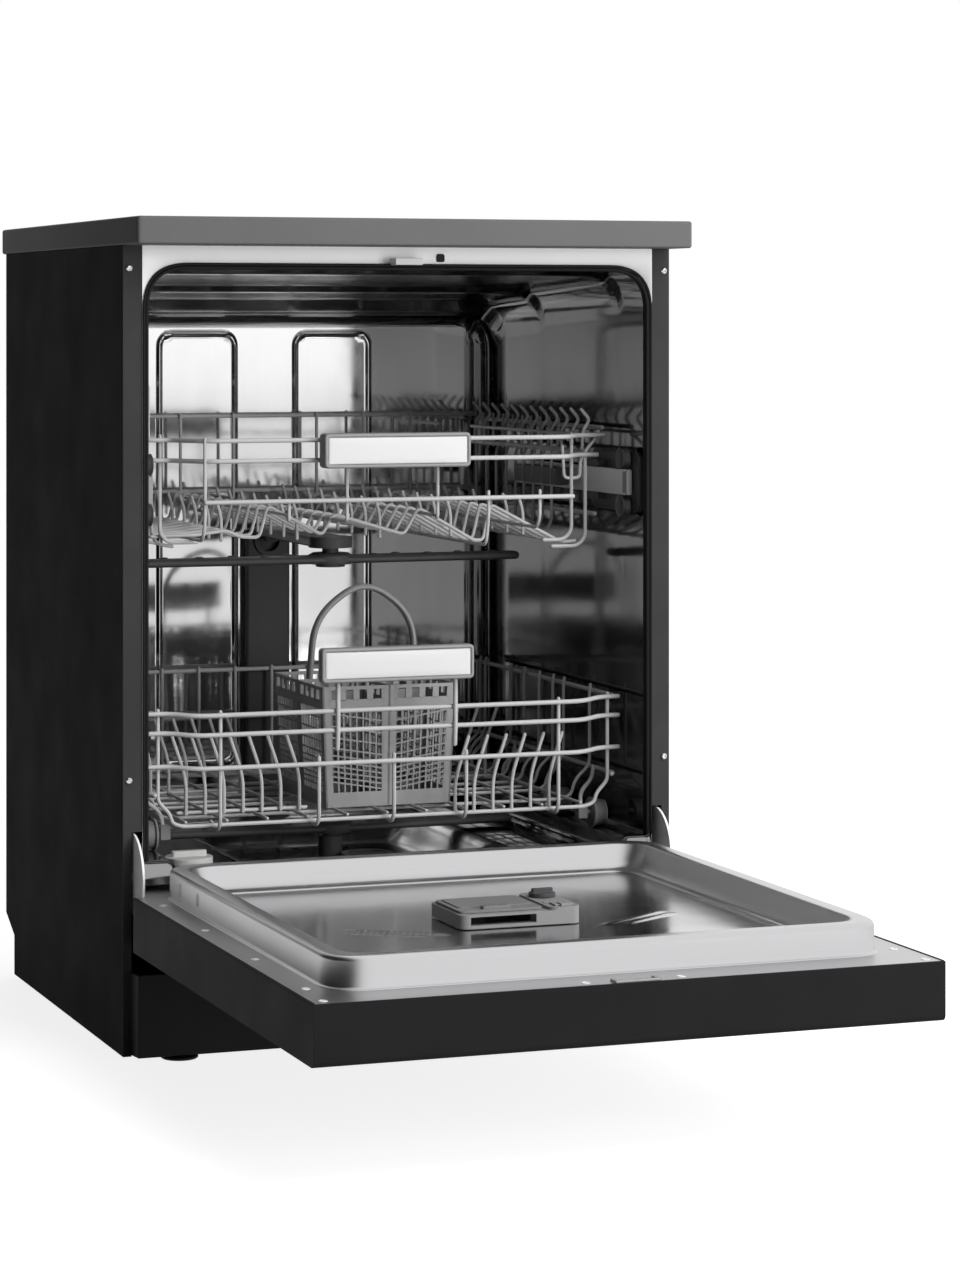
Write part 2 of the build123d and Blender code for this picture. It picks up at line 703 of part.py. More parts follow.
def control_panel():
    """Moulded fascia with the grip pocket, display window seat, button holes and latch pocket."""
    start_y = open_y(FASCIA_Z)
    mid_y = BUTTON_Y
    with BuildPart() as fascia:
        with BuildSketch(Plane.XY.offset(OPEN_FACE_Z)):
            with Locations((0, (start_y + OPEN_END_Y) / 2)):
                Rectangle(2 * DOOR_X, start_y - OPEN_END_Y)
        extrude(amount=DOOR_T)
        fillet(fascia.edges().filter_by(Axis.X).group_by(Axis.Y)[0].sort_by(Axis.Z)[0], radius=6)
        with BuildSketch(Plane.XY.offset(OPEN_FACE_Z + WALL)):
            with Locations((0, (start_y + OPEN_END_Y + WALL) / 2 + 5)):
                Rectangle(2 * (DOOR_X - WALL), start_y - OPEN_END_Y - WALL + 10)
        extrude(amount=DOOR_T, mode=Mode.SUBTRACT)
        with BuildSketch(Plane.XY.offset(FLANGE_Z - SHEET)):
            with Locations((0, (start_y + OPEN_END_Y + WALL) / 2 + 5)):
                Rectangle(2 * DOOR_X + 2, start_y - OPEN_END_Y - WALL + 10)
        extrude(amount=DOOR_T, mode=Mode.SUBTRACT)
        with BuildSketch(Plane.XY.offset(OPEN_FACE_Z)):
            with Locations((0, mid_y + 8)):
                RectangleRounded(180, 62, 10)
        extrude(amount=26)
        with BuildSketch(Plane.XY.offset(OPEN_FACE_Z)):
            with Locations((0, mid_y + 8)):
                RectangleRounded(174, 56, 7)
        extrude(amount=23, mode=Mode.SUBTRACT)
        with BuildSketch(Plane.XY.offset(OPEN_FACE_Z)):
            with Locations(*[(x, mid_y) for x in BUTTON_XS]):
                RectangleRounded(16 + 2 * GAP, 9 + 2 * GAP, 3)
            with Locations((155, mid_y)):
                RectangleRounded(74.1, 22.1, 3)
        extrude(amount=WALL, mode=Mode.SUBTRACT)
    write(fascia.part, "control_panel")

    with BuildPart() as window:
        with BuildSketch(Plane.XY.offset(OPEN_FACE_Z + 0.4)):
            with Locations((155, mid_y)):
                RectangleRounded(74, 22, 3)
        extrude(amount=WALL - 0.4)
        with BuildSketch(Plane.XY.offset(OPEN_FACE_Z + WALL)):
            with Locations((155, mid_y)):
                Rectangle(82, 30)
        extrude(amount=6)
    write(window.part, "display_window")

    for name, x in zip(BUTTON_NAMES, BUTTON_XS):
        with BuildPart() as button:
            with BuildSketch(Plane.XY.offset(OPEN_FACE_Z - 1.5)):
                with Locations((x, mid_y)):
                    RectangleRounded(16, 9, 2.8)
            extrude(amount=WALL + 1.8)
            fillet(button.faces().sort_by(Axis.Z)[0].edges(), radius=0.8)
            with BuildSketch(Plane.XY.offset(OPEN_FACE_Z + WALL + GAP)):
                with Locations((x, mid_y)):
                    Rectangle(20, 13)
            extrude(amount=3)
        write(button.part, name)


def rim_outline(inset, reach_in=0.0):
    """Plan of the raised rim on the door's lining."""
    y0, y1 = open_y(RIM_HEAD_Z) + inset + reach_in, open_y(RIM_FOOT_Z) - inset
    with BuildSketch(Plane.XY) as plan:
        with Locations((0, (y0 + y1) / 2)):
            RectangleRounded(2 * (RIM_X - inset), y1 - y0, max(40 - inset, 6))
    return plan.sketch


def door_liner():
    """Pressed stainless lining: flange, raised rim that carries the rack wheels, dished middle."""
    rim_top = FLANGE_Z + RIM_H

    def dish(grow):
        with BuildPart() as hollow:
            with BuildSketch(Plane.XY.offset(rim_top + 0.1)):
                add(rim_outline(RIM_W - grow, -12))
            with BuildSketch(Plane.XY.offset(DISH_Z - grow)):
                add(rim_outline(RIM_W + 14 - grow, -12))
            loft()
            with BuildSketch(Plane.XY.offset(rim_top - GROOVE_D - grow)):
                for side in (-1, 1):
                    with Locations((side * GROOVE_X, open_y(RIM_FOOT_Z) - 14)):
                        Rectangle(GROOVE_W + 2 * grow, 34)
            extrude(amount=GROOVE_D + 5)
        return hollow.part

    with BuildPart() as underside:
        with BuildSketch(Plane.XY.offset(FLANGE_Z - SHEET)):
            add(rim_outline(SHEET))
        extrude(amount=RIM_H)
        add(dish(SHEET), mode=Mode.SUBTRACT)
        with BuildSketch(Plane.XY.offset(FLANGE_Z - SHEET)):
            add(rim_outline(RIM_W + 10))
        extrude(amount=DISH_Z - FLANGE_Z, mode=Mode.ADD)
    with BuildPart() as liner:
        add(door_plan(0.5, OPEN_END_Y + WALL + GAP).moved(Location((0, 0, FLANGE_Z - SHEET))))
        extrude(amount=SHEET, dir=(0, 0, 1))
        with BuildSketch(Plane.XY.offset(FLANGE_Z - SHEET)):
            add(rim_outline(0))
        extrude(amount=RIM_H + SHEET)
        fillet(liner.faces().sort_by(Axis.Z)[-1].edges(), radius=3)
        add(dish(0), mode=Mode.SUBTRACT)
        add(underside.part, mode=Mode.SUBTRACT)
        with BuildSketch(Plane.XY.offset(FLANGE_Z - 5)):
            with Locations((0, open_y(LATCH_Z))):
                RectangleRounded(38, 14, 3)
            with Locations((0, DISPENSER_Y)):
                RectangleRounded(110, 78, 8)
        extrude(amount=20, mode=Mode.SUBTRACT)
    write(liner.part, "door_liner")


def dispenser():
    """Detergent and rinse aid dispenser sunk into the lining, its sliding lid and rinse cap."""
    with BuildPart() as box:
        with BuildSketch(Plane.XY.offset(DISH_Z)):
            with Locations((0, DISPENSER_Y)):
                RectangleRounded(122, 89, 9)
        extrude(amount=DISPENSER_TOP - DISH_Z - 3)
        with BuildSketch(Plane.XY.offset(DISPENSER_TOP - 3)):
            with Locations((45, DISPENSER_Y)):
                RectangleRounded(32, 89, 9)
        extrude(amount=3)
        with BuildSketch(Plane.XY.offset(OPEN_FACE_Z + 12)):
            with Locations((0, DISPENSER_Y)):
                RectangleRounded(109, 77, 8)
        extrude(amount=DISH_Z - OPEN_FACE_Z - 12)
        with BuildSketch(Plane.XY.offset(DISH_Z - 22)):
            with Locations((-20, DISPENSER_Y - 4)):
                RectangleRounded(70, 62, 8)
        extrude(amount=60, mode=Mode.SUBTRACT)
        with BuildSketch(Plane.XZ.offset(-(DISPENSER_Y - 30))):
            with Locations((-18, DISH_Z + 7)):
                Rectangle(66, 8)
        extrude(amount=25, mode=Mode.SUBTRACT)
    write(box.part, "dispenser_body")

    with BuildPart() as lid:
        with BuildSketch(Plane.XY.offset(DISPENSER_TOP - 3 + GAP)):
            with Locations((-16.5, DISPENSER_Y + 1)):
                RectangleRounded(84, 72, 6)
        extrude(amount=2.6)
        with BuildSketch(Plane.XY.offset(DISPENSER_TOP - 0.5)):
            with Locations((-20, DISPENSER_Y - 27)):
                RectangleRounded(28, 8, 2)
        extrude(amount=3)
    write(lid.part, "dispenser_lid")

    with BuildPart() as cap:
        with BuildSketch(Plane.XY.offset(DISPENSER_TOP + GAP)):
            with Locations((45, DISPENSER_Y + 18)):
                Circle(13)
        extrude(amount=4)
        with BuildSketch(Plane.XY.offset(DISPENSER_TOP + GAP + 4)):
            with Locations((45, DISPENSER_Y + 18)):
                SlotOverall(22, 5)
        extrude(amount=4)
    write(cap.part, "rinse_cap")


def latch_and_hinges():
    """Door lock body, swinging hinge arms with their cover plates, and the fixed hinge brackets."""
    latch_y = open_y(LATCH_Z)
    with BuildPart() as latch:
        with BuildSketch(Plane.XY.offset(OPEN_FACE_Z + 20)):
            with Locations((0, latch_y + 0.5)):
                Rectangle(50, 15)
        extrude(amount=FLANGE_Z - SHEET - OPEN_FACE_Z - 20)
        with BuildSketch(Plane.XY.offset(FLANGE_Z - SHEET)):
            with Locations((0, latch_y)):
                RectangleRounded(37.4, 13.4, 2.5)
        extrude(amount=SHEET)
        with BuildSketch(Plane.XY.offset(FLANGE_Z)):
            with Locations((0, latch_y - 1.6)):
                RectangleRounded(44, 13, 2)
        extrude(amount=2.2)
        with BuildSketch(Plane.XY.offset(FLANGE_Z - 25)):
            with Locations((0, latch_y)):
                Rectangle(35, 11)
        extrude(amount=40, mode=Mode.SUBTRACT)
    write(latch.part, "door_latch")

    with BuildPart() as arm:
        with BuildSketch(Plane.YZ.offset(HINGE_ARM_X - HINGE_ARM_T / 2)):
            with BuildLine():
                Line((HINGE_Y, HINGE_Z + COVER_R), (HINGE_Y + 14, HINGE_Z + COVER_R))
                Polyline(
                    (HINGE_Y + 14, HINGE_Z + COVER_R), (HINGE_Y + 14, HINGE_Z - 14), (HINGE_Y - 10, HINGE_Z - 40),
                    (-420, OPEN_FACE_Z + 8), (-420, FLANGE_Z - 3), (HINGE_Y - COVER_R + 3, FLANGE_Z - 3),
                    (HINGE_Y - COVER_R, HINGE_Z),
                )
                RadiusArc((HINGE_Y - COVER_R, HINGE_Z), (HINGE_Y, HINGE_Z + COVER_R), COVER_R)
            make_face()
            with Locations((HINGE_Y, HINGE_Z)):
                Circle(PIN_R + RUNNING, mode=Mode.SUBTRACT)
        extrude(amount=HINGE_ARM_T)
    write(Compound([arm.part.solid(), mirrored(arm.part).solid()]), "hinge_arms")

    with BuildPart() as bracket:
        with BuildSketch(Plane.YZ.offset(288)):
            with BuildLine():
                Polyline(
                    (-236, 60), (-170, 60), (-150, 110), (-190, 225), (-236, 225), close=True,
                )
            make_face()
        extrude(amount=2.5)
        with BuildSketch(Plane.YZ.offset(288)):
            with Locations((HINGE_Y, HINGE_Z)):
                Circle(PIN_R)
        extrude(amount=-(288 - DOOR_FOOT_X - 0.5))
    write(Compound([bracket.part.solid(), mirrored(bracket.part).solid()]), "hinge_brackets")


# Rails and rollers


def rail_group():
    """Channel rails with end caps, the rollers they run between, and the wall brackets."""
    top, bottom = RAIL_Z + RAIL_HALF_H, RAIL_Z - RAIL_HALF_H
    inner, outer = RAIL_X - 3.2, RAIL_X + 3.3
    with BuildPart() as rail:
        with BuildSketch(Plane.XZ.offset(-RAIL_REAR_Y)):
            with BuildLine():
                Polyline(
                    (outer, bottom), (inner, bottom), (inner, bottom + 4), (inner + SHEET, bottom + 4),
                    (inner + SHEET, bottom + SHEET), (outer - SHEET, bottom + SHEET), (outer - SHEET, top - SHEET),
                    (inner + SHEET, top - SHEET), (inner + SHEET, top - 4), (inner, top - 4), (inner, top),
                    (outer, top), close=True,
                )
            make_face()
        extrude(amount=RAIL_REAR_Y - RAIL_FRONT_Y)
        with BuildSketch(Plane.XZ.offset(-RAIL_FRONT_Y)):
            with Locations(((inner + outer) / 2, RAIL_Z)):
                RectangleRounded(outer - inner, 2 * RAIL_HALF_H, 2)
        extrude(amount=-3)
    write(Compound([rail.part.solid(), mirrored(rail.part).solid()]), "upper_rails")

    for name, z in (("rollers_above", top + ROLLER_R + GAP), ("rollers_below", bottom - ROLLER_R - GAP)):
        with BuildPart() as roller:
            with BuildSketch(Plane.YZ.offset(RAIL_X - 2.6)):
                with Locations((ROLLER_Y, z)):
                    Circle(ROLLER_R)
                    Circle(ROLLER_PIN_R + RUNNING, mode=Mode.SUBTRACT)
            extrude(amount=5.8)
        write(Compound([roller.part.solid(), mirrored(roller.part).solid()]), name)

    with BuildPart() as bracket:
        with BuildSketch(Plane.YZ.offset(TUB_X)):
            with Locations((-160, RAIL_Z)):
                RectangleRounded(130, 64, 10)
        extrude(amount=-5.6)
        with BuildSketch(Plane.YZ.offset(TUB_X - 5.6)):
            with Locations((ROLLER_Y, top + ROLLER_R + GAP), (ROLLER_Y, bottom - ROLLER_R - GAP)):
                Circle(ROLLER_PIN_R)
        extrude(amount=-9)
        with BuildSketch(Plane.YZ.offset(TUB_X - 5.6)):
            with Locations((-115, top + GAP + 4), (-115, bottom - GAP - 4)):
                RectangleRounded(34, 8, 3)
        extrude(amount=-8)
    write(Compound([bracket.part.solid(), mirrored(bracket.part).solid()]), "roller_brackets")


# Racks


def front_run(x_end, y_end, jog_x, bulge_y, z):
    """A front wire seen from above: straight ends and a middle that stands forward."""
    return [
        (-x_end, y_end, z), (-jog_x - 26, y_end, z), (-jog_x, bulge_y, z), (jog_x, bulge_y, z),
        (jog_x + 26, y_end, z), (x_end, y_end, z),
    ]


def spaced(low, high, count):
    """Evenly spaced places, both ends included."""
    return [low + (high - low) * i / (count - 1) for i in range(count)]


def front_hangers(corner_y, bulge_y):
    """Wires of the lower rack's front: hoop from corner to corner, uprights, hooks, grip stays, tines."""
    top, low = LOWER_TOP_Z + 3, LOWER_FLOOR_Z - 1
    arch = [(LOWER_X - 9, corner_y, top), (LOWER_X - 9, corner_y, LOWER_SIDE_Z + 5),
            (LOWER_X - 23, corner_y, low + 14), (LOWER_X - 31, corner_y, low)]
    runs = [wire(arch + [(-x, y, z) for x, y, z in reversed(arch)], THIN_R)]
    for x, start in ((-186, top), (186, top), (-87, top - 56), (-6, top - 56), (79, top - 56)):
        runs.append(wire([
            (x, bulge_y, start), (x, bulge_y, low + 9), (x, bulge_y + 9, low - 2.6), (x, corner_y + 14, low - 2.6),
        ], THIN_R))
    for x in (-60, 60):
        runs.append(wire([(x, bulge_y, LOWER_TOP_Z - 34), (x, bulge_y, 398)], THIN_R))
    for x in spaced(75, 181, 6):
        runs.append(wire([(x, corner_y, low), (x, corner_y, low + 40), (x + 15, corner_y, low + 84)], THIN_R))
    return runs


def rear_hangers(rear_y):
    """Uprights of the lower rack's rear, each turned in under the floor."""
    runs = []
    for x in spaced(-195, 195, 11):
        runs.append(wire([
            (x, rear_y, LOWER_TOP_Z + 3), (x, rear_y, LOWER_FLOOR_Z + 8), (x, rear_y - 8, LOWER_FLOOR_Z - 3.6),
            (x, rear_y - 16, LOWER_FLOOR_Z - 3.6),
        ], THIN_R))
    for x in (-236, 236):
        runs.append(wire([(x, rear_y, LOWER_TOP_Z + 3), (x, rear_y, LOWER_FLOOR_Z + 8)], THIN_R))
    return runs


def lower_basket():
    """Lower basket of welded wire: floor, two sides with wheel axles, front and rear."""
    front, rear = LOWER_FRONT_Y, LOWER_REAR_Y
    floor_x = SILL_X - 1.7
    floor = [wire([(-floor_x, y, LOWER_FLOOR_Z), (floor_x, y, LOWER_FLOOR_Z)], THIN_R)
             for y in spaced(rear - 12, front + 14, 9)]
    floor += [wire([(x, rear - 6, LOWER_FLOOR_Z + 3.2), (x, front + 6, LOWER_FLOOR_Z + 3.2)], THIN_R)
              for x in spaced(-floor_x + 10, floor_x - 10, 9)]

    side = [wire([(LOWER_X, rear - 4, z), (LOWER_X, front + 4, z)], WIRE_R)
            for z in (LOWER_TOP_Z, LOWER_SIDE_Z)]
    for y in LOWER_HOOPS:
        side.append(wire([
            (LOWER_X - 3.6, y, LOWER_TOP_Z + 5), (LOWER_X - 3.6, y, LOWER_SIDE_Z + 2),
            (SILL_X, y, LOWER_FLOOR_Z + 10), (SILL_X, y, LOWER_FLOOR_Z - 3),
        ], THIN_R))
    side.append(wire([(SILL_X, rear - 10, LOWER_FLOOR_Z), (SILL_X, front + 10, LOWER_FLOOR_Z)], THIN_R))
    for y in WHEEL_YS:
        side.append(wire([(LOWER_X - 3.6, y + 6, LOWER_SIDE_Z + 2), (SILL_X, y, LOWER_FLOOR_Z + 12),
                          (SILL_X, y, AXLE_Z - 3)], 2.6))
        with BuildPart() as axle:
            with BuildSketch(Plane.YZ.offset(SILL_X - 2)):
                with Locations((y, AXLE_Z)):
                    Circle(AXLE_R)
            extrude(amount=WHEEL_FACE_X + 1 - SILL_X + 2)
        side.append(axle.part)
    side_grille = weld(side)

    ends = []
    for y_end, bulge in ((front, LOWER_BULGE_Y), (rear, rear)):
        runs = [wire(front_run(LOWER_X - 2, y_end, 206, bulge, z) if bulge != y_end
                     else [(-LOWER_X + 2, y_end, z), (LOWER_X - 2, y_end, z)], WIRE_R)
                for z in (LOWER_TOP_Z, LOWER_TOP_Z - 20, LOWER_TOP_Z - 56)]
        if y_end < 0:
            runs += front_hangers(y_end + 3.6, bulge + 3.6)
        else:
            runs += rear_hangers(y_end - 3.6)
        ends.append(weld(runs))
    pieces = [weld(floor), side_grille, mirrored(side_grille)] + ends
    write(Compound([piece.solid() for piece in pieces]), "lower_basket")


def lower_wheels():
    """Flanged wheels of the lower rack, one pair to each axle line."""
    for number, y in enumerate(WHEEL_YS, 1):
        with BuildPart() as wheel:
            with BuildSketch(Plane.YZ.offset(WHEEL_DISC_X)):
                with Locations((y, AXLE_Z)):
                    Circle(WHEEL_DISC_R)
            extrude(amount=3.2)
            with BuildSketch(Plane.YZ.offset(WHEEL_DISC_X + 3.2)):
                with Locations((y, AXLE_Z)):
                    Circle(WHEEL_R)
            extrude(amount=WHEEL_FACE_X - WHEEL_DISC_X - 3.2)
            with BuildSketch(Plane.YZ.offset(WHEEL_FACE_X)):
                with Locations((y, AXLE_Z)):
                    Circle(WHEEL_R - 2)
                    Circle(6.5, mode=Mode.SUBTRACT)
                    with PolarLocations(9, 6):
                        Rectangle(8, 1.6, mode=Mode.SUBTRACT)
            extrude(amount=-7, mode=Mode.SUBTRACT)
            with BuildSketch(Plane.YZ.offset(WHEEL_DISC_X - 1)):
                with Locations((y, AXLE_Z)):
                    Circle(AXLE_R + RUNNING)
            extrude(amount=30, mode=Mode.SUBTRACT)
        pair = Compound([wheel.part.solid(), mirrored(wheel.part).solid()])
        write(pair, f"lower_wheels_{number}")


def handle(name, half_x, z_low, z_high, face_y, depth):
    """Grip frame with a window for the pale insert, and the insert in its seat."""
    with BuildPart() as frame:
        with BuildSketch(Plane.XZ.offset(-face_y)):
            with Locations((0, (z_low + z_high) / 2)):
                RectangleRounded(2 * half_x, z_high - z_low, 4)
        extrude(amount=-depth)
        fillet(frame.faces().sort_by(Axis.Y)[0].edges(), radius=1.5)
        with BuildSketch(Plane.XZ.offset(-face_y)):
            with Locations((0, (z_low + z_high) / 2)):
                RectangleRounded(2 * half_x - 8, z_high - z_low - 8, 3)
        extrude(amount=-3, mode=Mode.SUBTRACT)
    write(frame.part, name)
    with BuildPart() as insert:
        with BuildSketch(Plane.XZ.offset(-face_y - 3)):
            with Locations((0, (z_low + z_high) / 2)):
                RectangleRounded(2 * half_x - 8.4, z_high - z_low - 8.4, 2.8)
        extrude(amount=2.6)
    write(insert.part, name + "_insert")


def tine_row(name, x_low, x_high, y, count):
    """Folding row of plate tines, bent sideways, on its own rod."""
    z = LOWER_FLOOR_Z + 12
    rods = [rod((x_low, y, z), (x_high, y, z), THIN_R)]
    for x in spaced(x_low + 8, x_high - 8, count):
        rods.append(wire([(x, y - 3.2, z - 1), (x, y - 3.2, z + 35), (x - 15, y - 3.2, z + 78)], THIN_R))
    write(weld(rods), name)


def cutlery_basket():
    """Open cutlery basket: four cells with pierced walls, ribs between them and a bowed carrying handle."""
    half_x, half_y, taper = 75.0, 86.0, 6.0
    mid_x, mid_y = 17.0, -60.0
    z0, z1 = LOWER_FLOOR_Z + 6, 356.0
    with BuildPart() as basket:
        with BuildSketch(Plane.XY.offset(z0)):
            with Locations((mid_x, mid_y)):
                RectangleRounded(2 * (half_x - taper), 2 * half_y - 8, 6)
        with BuildSketch(Plane.XY.offset(z1)):
            with Locations((mid_x, mid_y)):
                RectangleRounded(2 * half_x, 2 * half_y, 8)
        loft()
        for side_x in (-1, 1):
            for side_y in (-1, 1):
                with BuildSketch(Plane.XY.offset(z0 + 2.5)):
                    with Locations((mid_x + side_x * (half_x - taper) / 2, mid_y + side_y * (half_y - 4) / 2)):
                        RectangleRounded(half_x - taper - 5, half_y - 9, 4)
                with BuildSketch(Plane.XY.offset(z1 + 0.1)):
                    with Locations((mid_x + side_x * half_x / 2, mid_y + side_y * half_y / 2)):
                        RectangleRounded(half_x - 5, half_y - 5, 4)
                loft(mode=Mode.SUBTRACT)
        rows = ((z0 + 20, z0 + 54, 4.4, 8), (z0 + 57, z0 + 91, 4.4, 8), (z1 - 22, z1 - 9, 6.0, 4))
        for low, high, width, count in rows:
            with BuildSketch(Plane.XZ.offset(-(mid_y - half_y - 5))):
                with Locations((mid_x, (low + high) / 2)):
                    with Locations(*[(sx + dx, 0) for sx in (-36, 36) for dx in spaced(-24, 24, count)]):
                        Rectangle(width, high - low)
            extrude(amount=-(2 * half_y + 10), mode=Mode.SUBTRACT)
        with BuildSketch(Plane.XZ.offset(3 - mid_y)):
            with BuildLine():
                Polyline((mid_x - 66, z1 - 4), (mid_x - 60, z1 + 70))
                ThreePointArc((mid_x - 60, z1 + 70), (mid_x, z1 + 100), (mid_x + 60, z1 + 70))
                Polyline((mid_x + 60, z1 + 70), (mid_x + 66, z1 - 4), (mid_x + 58, z1 - 4), (mid_x + 52, z1 + 66))
                ThreePointArc((mid_x + 52, z1 + 66), (mid_x, z1 + 92), (mid_x - 52, z1 + 66))
                Polyline((mid_x - 52, z1 + 66), (mid_x - 58, z1 - 4), (mid_x - 66, z1 - 4))
            make_face()
        extrude(amount=-6)
    write(basket.part, "cutlery_basket")


def upper_basket():
    """Upper basket of welded wire: stepped floor for cups, sides that jog out, bowed front."""
    front, rear = UPPER_FRONT_Y, UPPER_REAR_Y
    zf = UPPER_FLOOR_Z
    floor = []
    for y in spaced(rear - 10, front + 12, 9):
        floor.append(wire([(x, y, z) for x, z in UPPER_STEPS], THIN_R))
    for x, z in UPPER_RUNNERS:
        floor.append(wire([(x, rear - 5, z - 3.2), (x, front + 5, z - 3.2)], THIN_R))

    side = [wire([(UPPER_X + x, rear - 4, z), (UPPER_X + x, front + 4, z)], WIRE_R)
            for x, z in ((6, UPPER_TOP_Z), (6, UPPER_TOP_Z - 42), (0, zf + 4))]
    for y in UPPER_HOOPS:
        side.append(wire([
            (UPPER_X + 2.4, y, UPPER_TOP_Z + 4), (UPPER_X + 2.4, y, UPPER_TOP_Z - 48),
            (UPPER_X - 3.6, y, UPPER_TOP_Z - 60), (UPPER_X - 3.6, y, zf),
        ], THIN_R))
    with BuildPart() as shoes:
        with BuildSketch(Plane.XZ.offset(-80)):
            with BuildLine():
                Polyline(
                    (UPPER_X - 4, RAIL_Z - 10), (RAIL_X - 3.5, RAIL_Z - 10), (RAIL_X - 3.5, RAIL_Z + 10),
                    (UPPER_X - 4, RAIL_Z + 10), close=True,
                )
            make_face()
        extrude(amount=130)
    side.append(shoes.part)
    side_grille = weld(side)

    front_runs = [wire(front_run(UPPER_X + 8, front, 196, UPPER_BULGE_Y, z), WIRE_R)
                  for z in (UPPER_FRONT_Z, UPPER_FRONT_Z - 23)]
    front_runs.append(wire([(-200, UPPER_BULGE_Y + 14, 555), (-186, UPPER_BULGE_Y, 555),
                            (186, UPPER_BULGE_Y, 555), (200, UPPER_BULGE_Y + 14, 555)], WIRE_R))
    for x, start in ((-186, UPPER_FRONT_Z), (-47, UPPER_FRONT_Z), (53, UPPER_FRONT_Z), (186, UPPER_FRONT_Z),
                     (110, 562), (160, 562)):
        front_runs.append(wire([
            (x, UPPER_BULGE_Y + 3.6, start + 3), (x, UPPER_BULGE_Y + 3.6, 550),
            (x, front + 4, zf + 8),
        ], THIN_R))
    for x in (-232, 232):
        front_runs.append(wire([(x, front + 3.6, UPPER_FRONT_Z + 3), (x, front + 3.6, zf + 2)], THIN_R))
    rear_runs = [wire([(-UPPER_X + 2, rear, z), (UPPER_X - 2, rear, z)], WIRE_R)
                 for z in (UPPER_TOP_Z - 42, zf + 30)]
    for x in spaced(-220, 220, 11):
        rear_runs.append(wire([(x, rear - 3.6, UPPER_TOP_Z - 38), (x, rear - 3.6, zf + 26)], THIN_R))
    pieces = [weld(floor), side_grille, mirrored(side_grille), weld(front_runs), weld(rear_runs)]
    write(Compound([piece.solid() for piece in pieces]), "upper_basket")


def cup_shelf():
    """Fold-down row of hooked tines on the right side of the upper rack."""
    x = UPPER_X - 8.5
    rods = [rod((x, 196, 600), (x, -128, 600), WIRE_R)]
    rods.append(wire([(x - 3.4, 190, 618), (x - 3.4, -122, 618)], THIN_R))
    for y in spaced(182, -114, 12):
        rods.append(wire([(x - 0.4, y, 598), (x - 0.4, y, 626), (x - 12, y, 640)], THIN_R))
    write(weld(rods), "cup_shelf")


def upper_feed():
    """Spray feed under the upper rack: an elbow from the rear wall's dock to the arm's hub."""
    with BuildPart() as feed:
        with BuildSketch(Plane.XZ.offset(-UPPER_REAR_Y - 4)):
            with Locations((0, UPPER_FLOOR_Z - 14)):
                RectangleRounded(40, 12, 4)
        extrude(amount=UPPER_REAR_Y + 4 - SPRAY_Y)
        with BuildSketch(Plane.XY.offset(UPPER_FLOOR_Z - 20)):
            with Locations((0, SPRAY_Y)):
                Circle(24)
        extrude(amount=12)
        with BuildSketch(Plane.XY.offset(UPPER_FLOOR_Z - 20)):
            with Locations((0, SPRAY_Y)):
                Circle(HUB_R)
        extrude(amount=-18)
        with BuildSketch(Plane.XY.offset(UPPER_FLOOR_Z - 38)):
            with Locations((0, SPRAY_Y)):
                Circle(16)
        extrude(amount=-3)
        with BuildSketch(Plane.XZ.offset(-UPPER_REAR_Y - 7)):
            with Locations((0, UPPER_FLOOR_Z - 16)):
                Circle(11)
        extrude(amount=12)
    write(feed.part, "upper_feed_pipe")


def water_tank():
    """Flat air-break and softener tank between the tub and the left side panel."""
    with BuildPart() as tank:
        with BuildSketch(Plane.YZ.offset(-TUB_X - SHEET)):
            with Locations((60, 480)):
                RectangleRounded(260, 340, 24)
        extrude(amount=-17)
        with BuildSketch(Plane.YZ.offset(-TUB_X - SHEET - 17)):
            with Locations((60, 480)):
                with GridLocations(0, 60, 1, 5):
                    SlotOverall(200, 10)
        extrude(amount=-2)
    write(tank.part, "water_tank")


def casing_screws():
    """Dome-headed screws in the strips that frame the opening."""
    with BuildPart() as screw:
        for z in (280, 794):
            with BuildSketch(Plane.XZ.offset(-PILLAR_Y + 2)):
                with Locations((291.5, z)):
                    Circle(3.4)
            extrude(amount=-2)
    heads = list(screw.part.solids()) + list(mirrored(screw.part).solids())
    write(Compound(heads), "casing_screws")


side_panels()
front_pillars()
worktop()
back_panel()
base_tray()
feet()
plinth()
rear_fittings()
pumps()
tub()
tub_fittings()
sump_group()
spray_arm("lower_spray_arm", 205, FLOOR_Z + 4.5, 4)
door_panel()
control_panel()
door_liner()
dispenser()
latch_and_hinges()
rail_group()
lower_basket()
lower_wheels()
handle("lower_handle", 83.7, 368, 404, -225, 14)
tine_row("tine_row", -222, -84, LOWER_TINE_Y, 7)
cutlery_basket()
upper_basket()
handle("upper_handle", 80.3, 589, 625, -224.5, 20)
cup_shelf()
upper_feed()
spray_arm("upper_spray_arm", 214, UPPER_FLOOR_Z - 38 + GAP, -4)
water_tank()
casing_screws()
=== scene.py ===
"""Looks of a freestanding dishwasher, standing open for loading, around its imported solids.

Sizes are in millimetres in the same frame as the solids: X to the right seen from the front,
Y to the rear, Z up, origin on the floor under the middle of the cabinet. The door lies open
and both racks are home in the tub. Meshes are turned into metres as they are made.
"""

import json
import logging
import math
from dataclasses import dataclass
from enum import Enum
from typing import Sequence

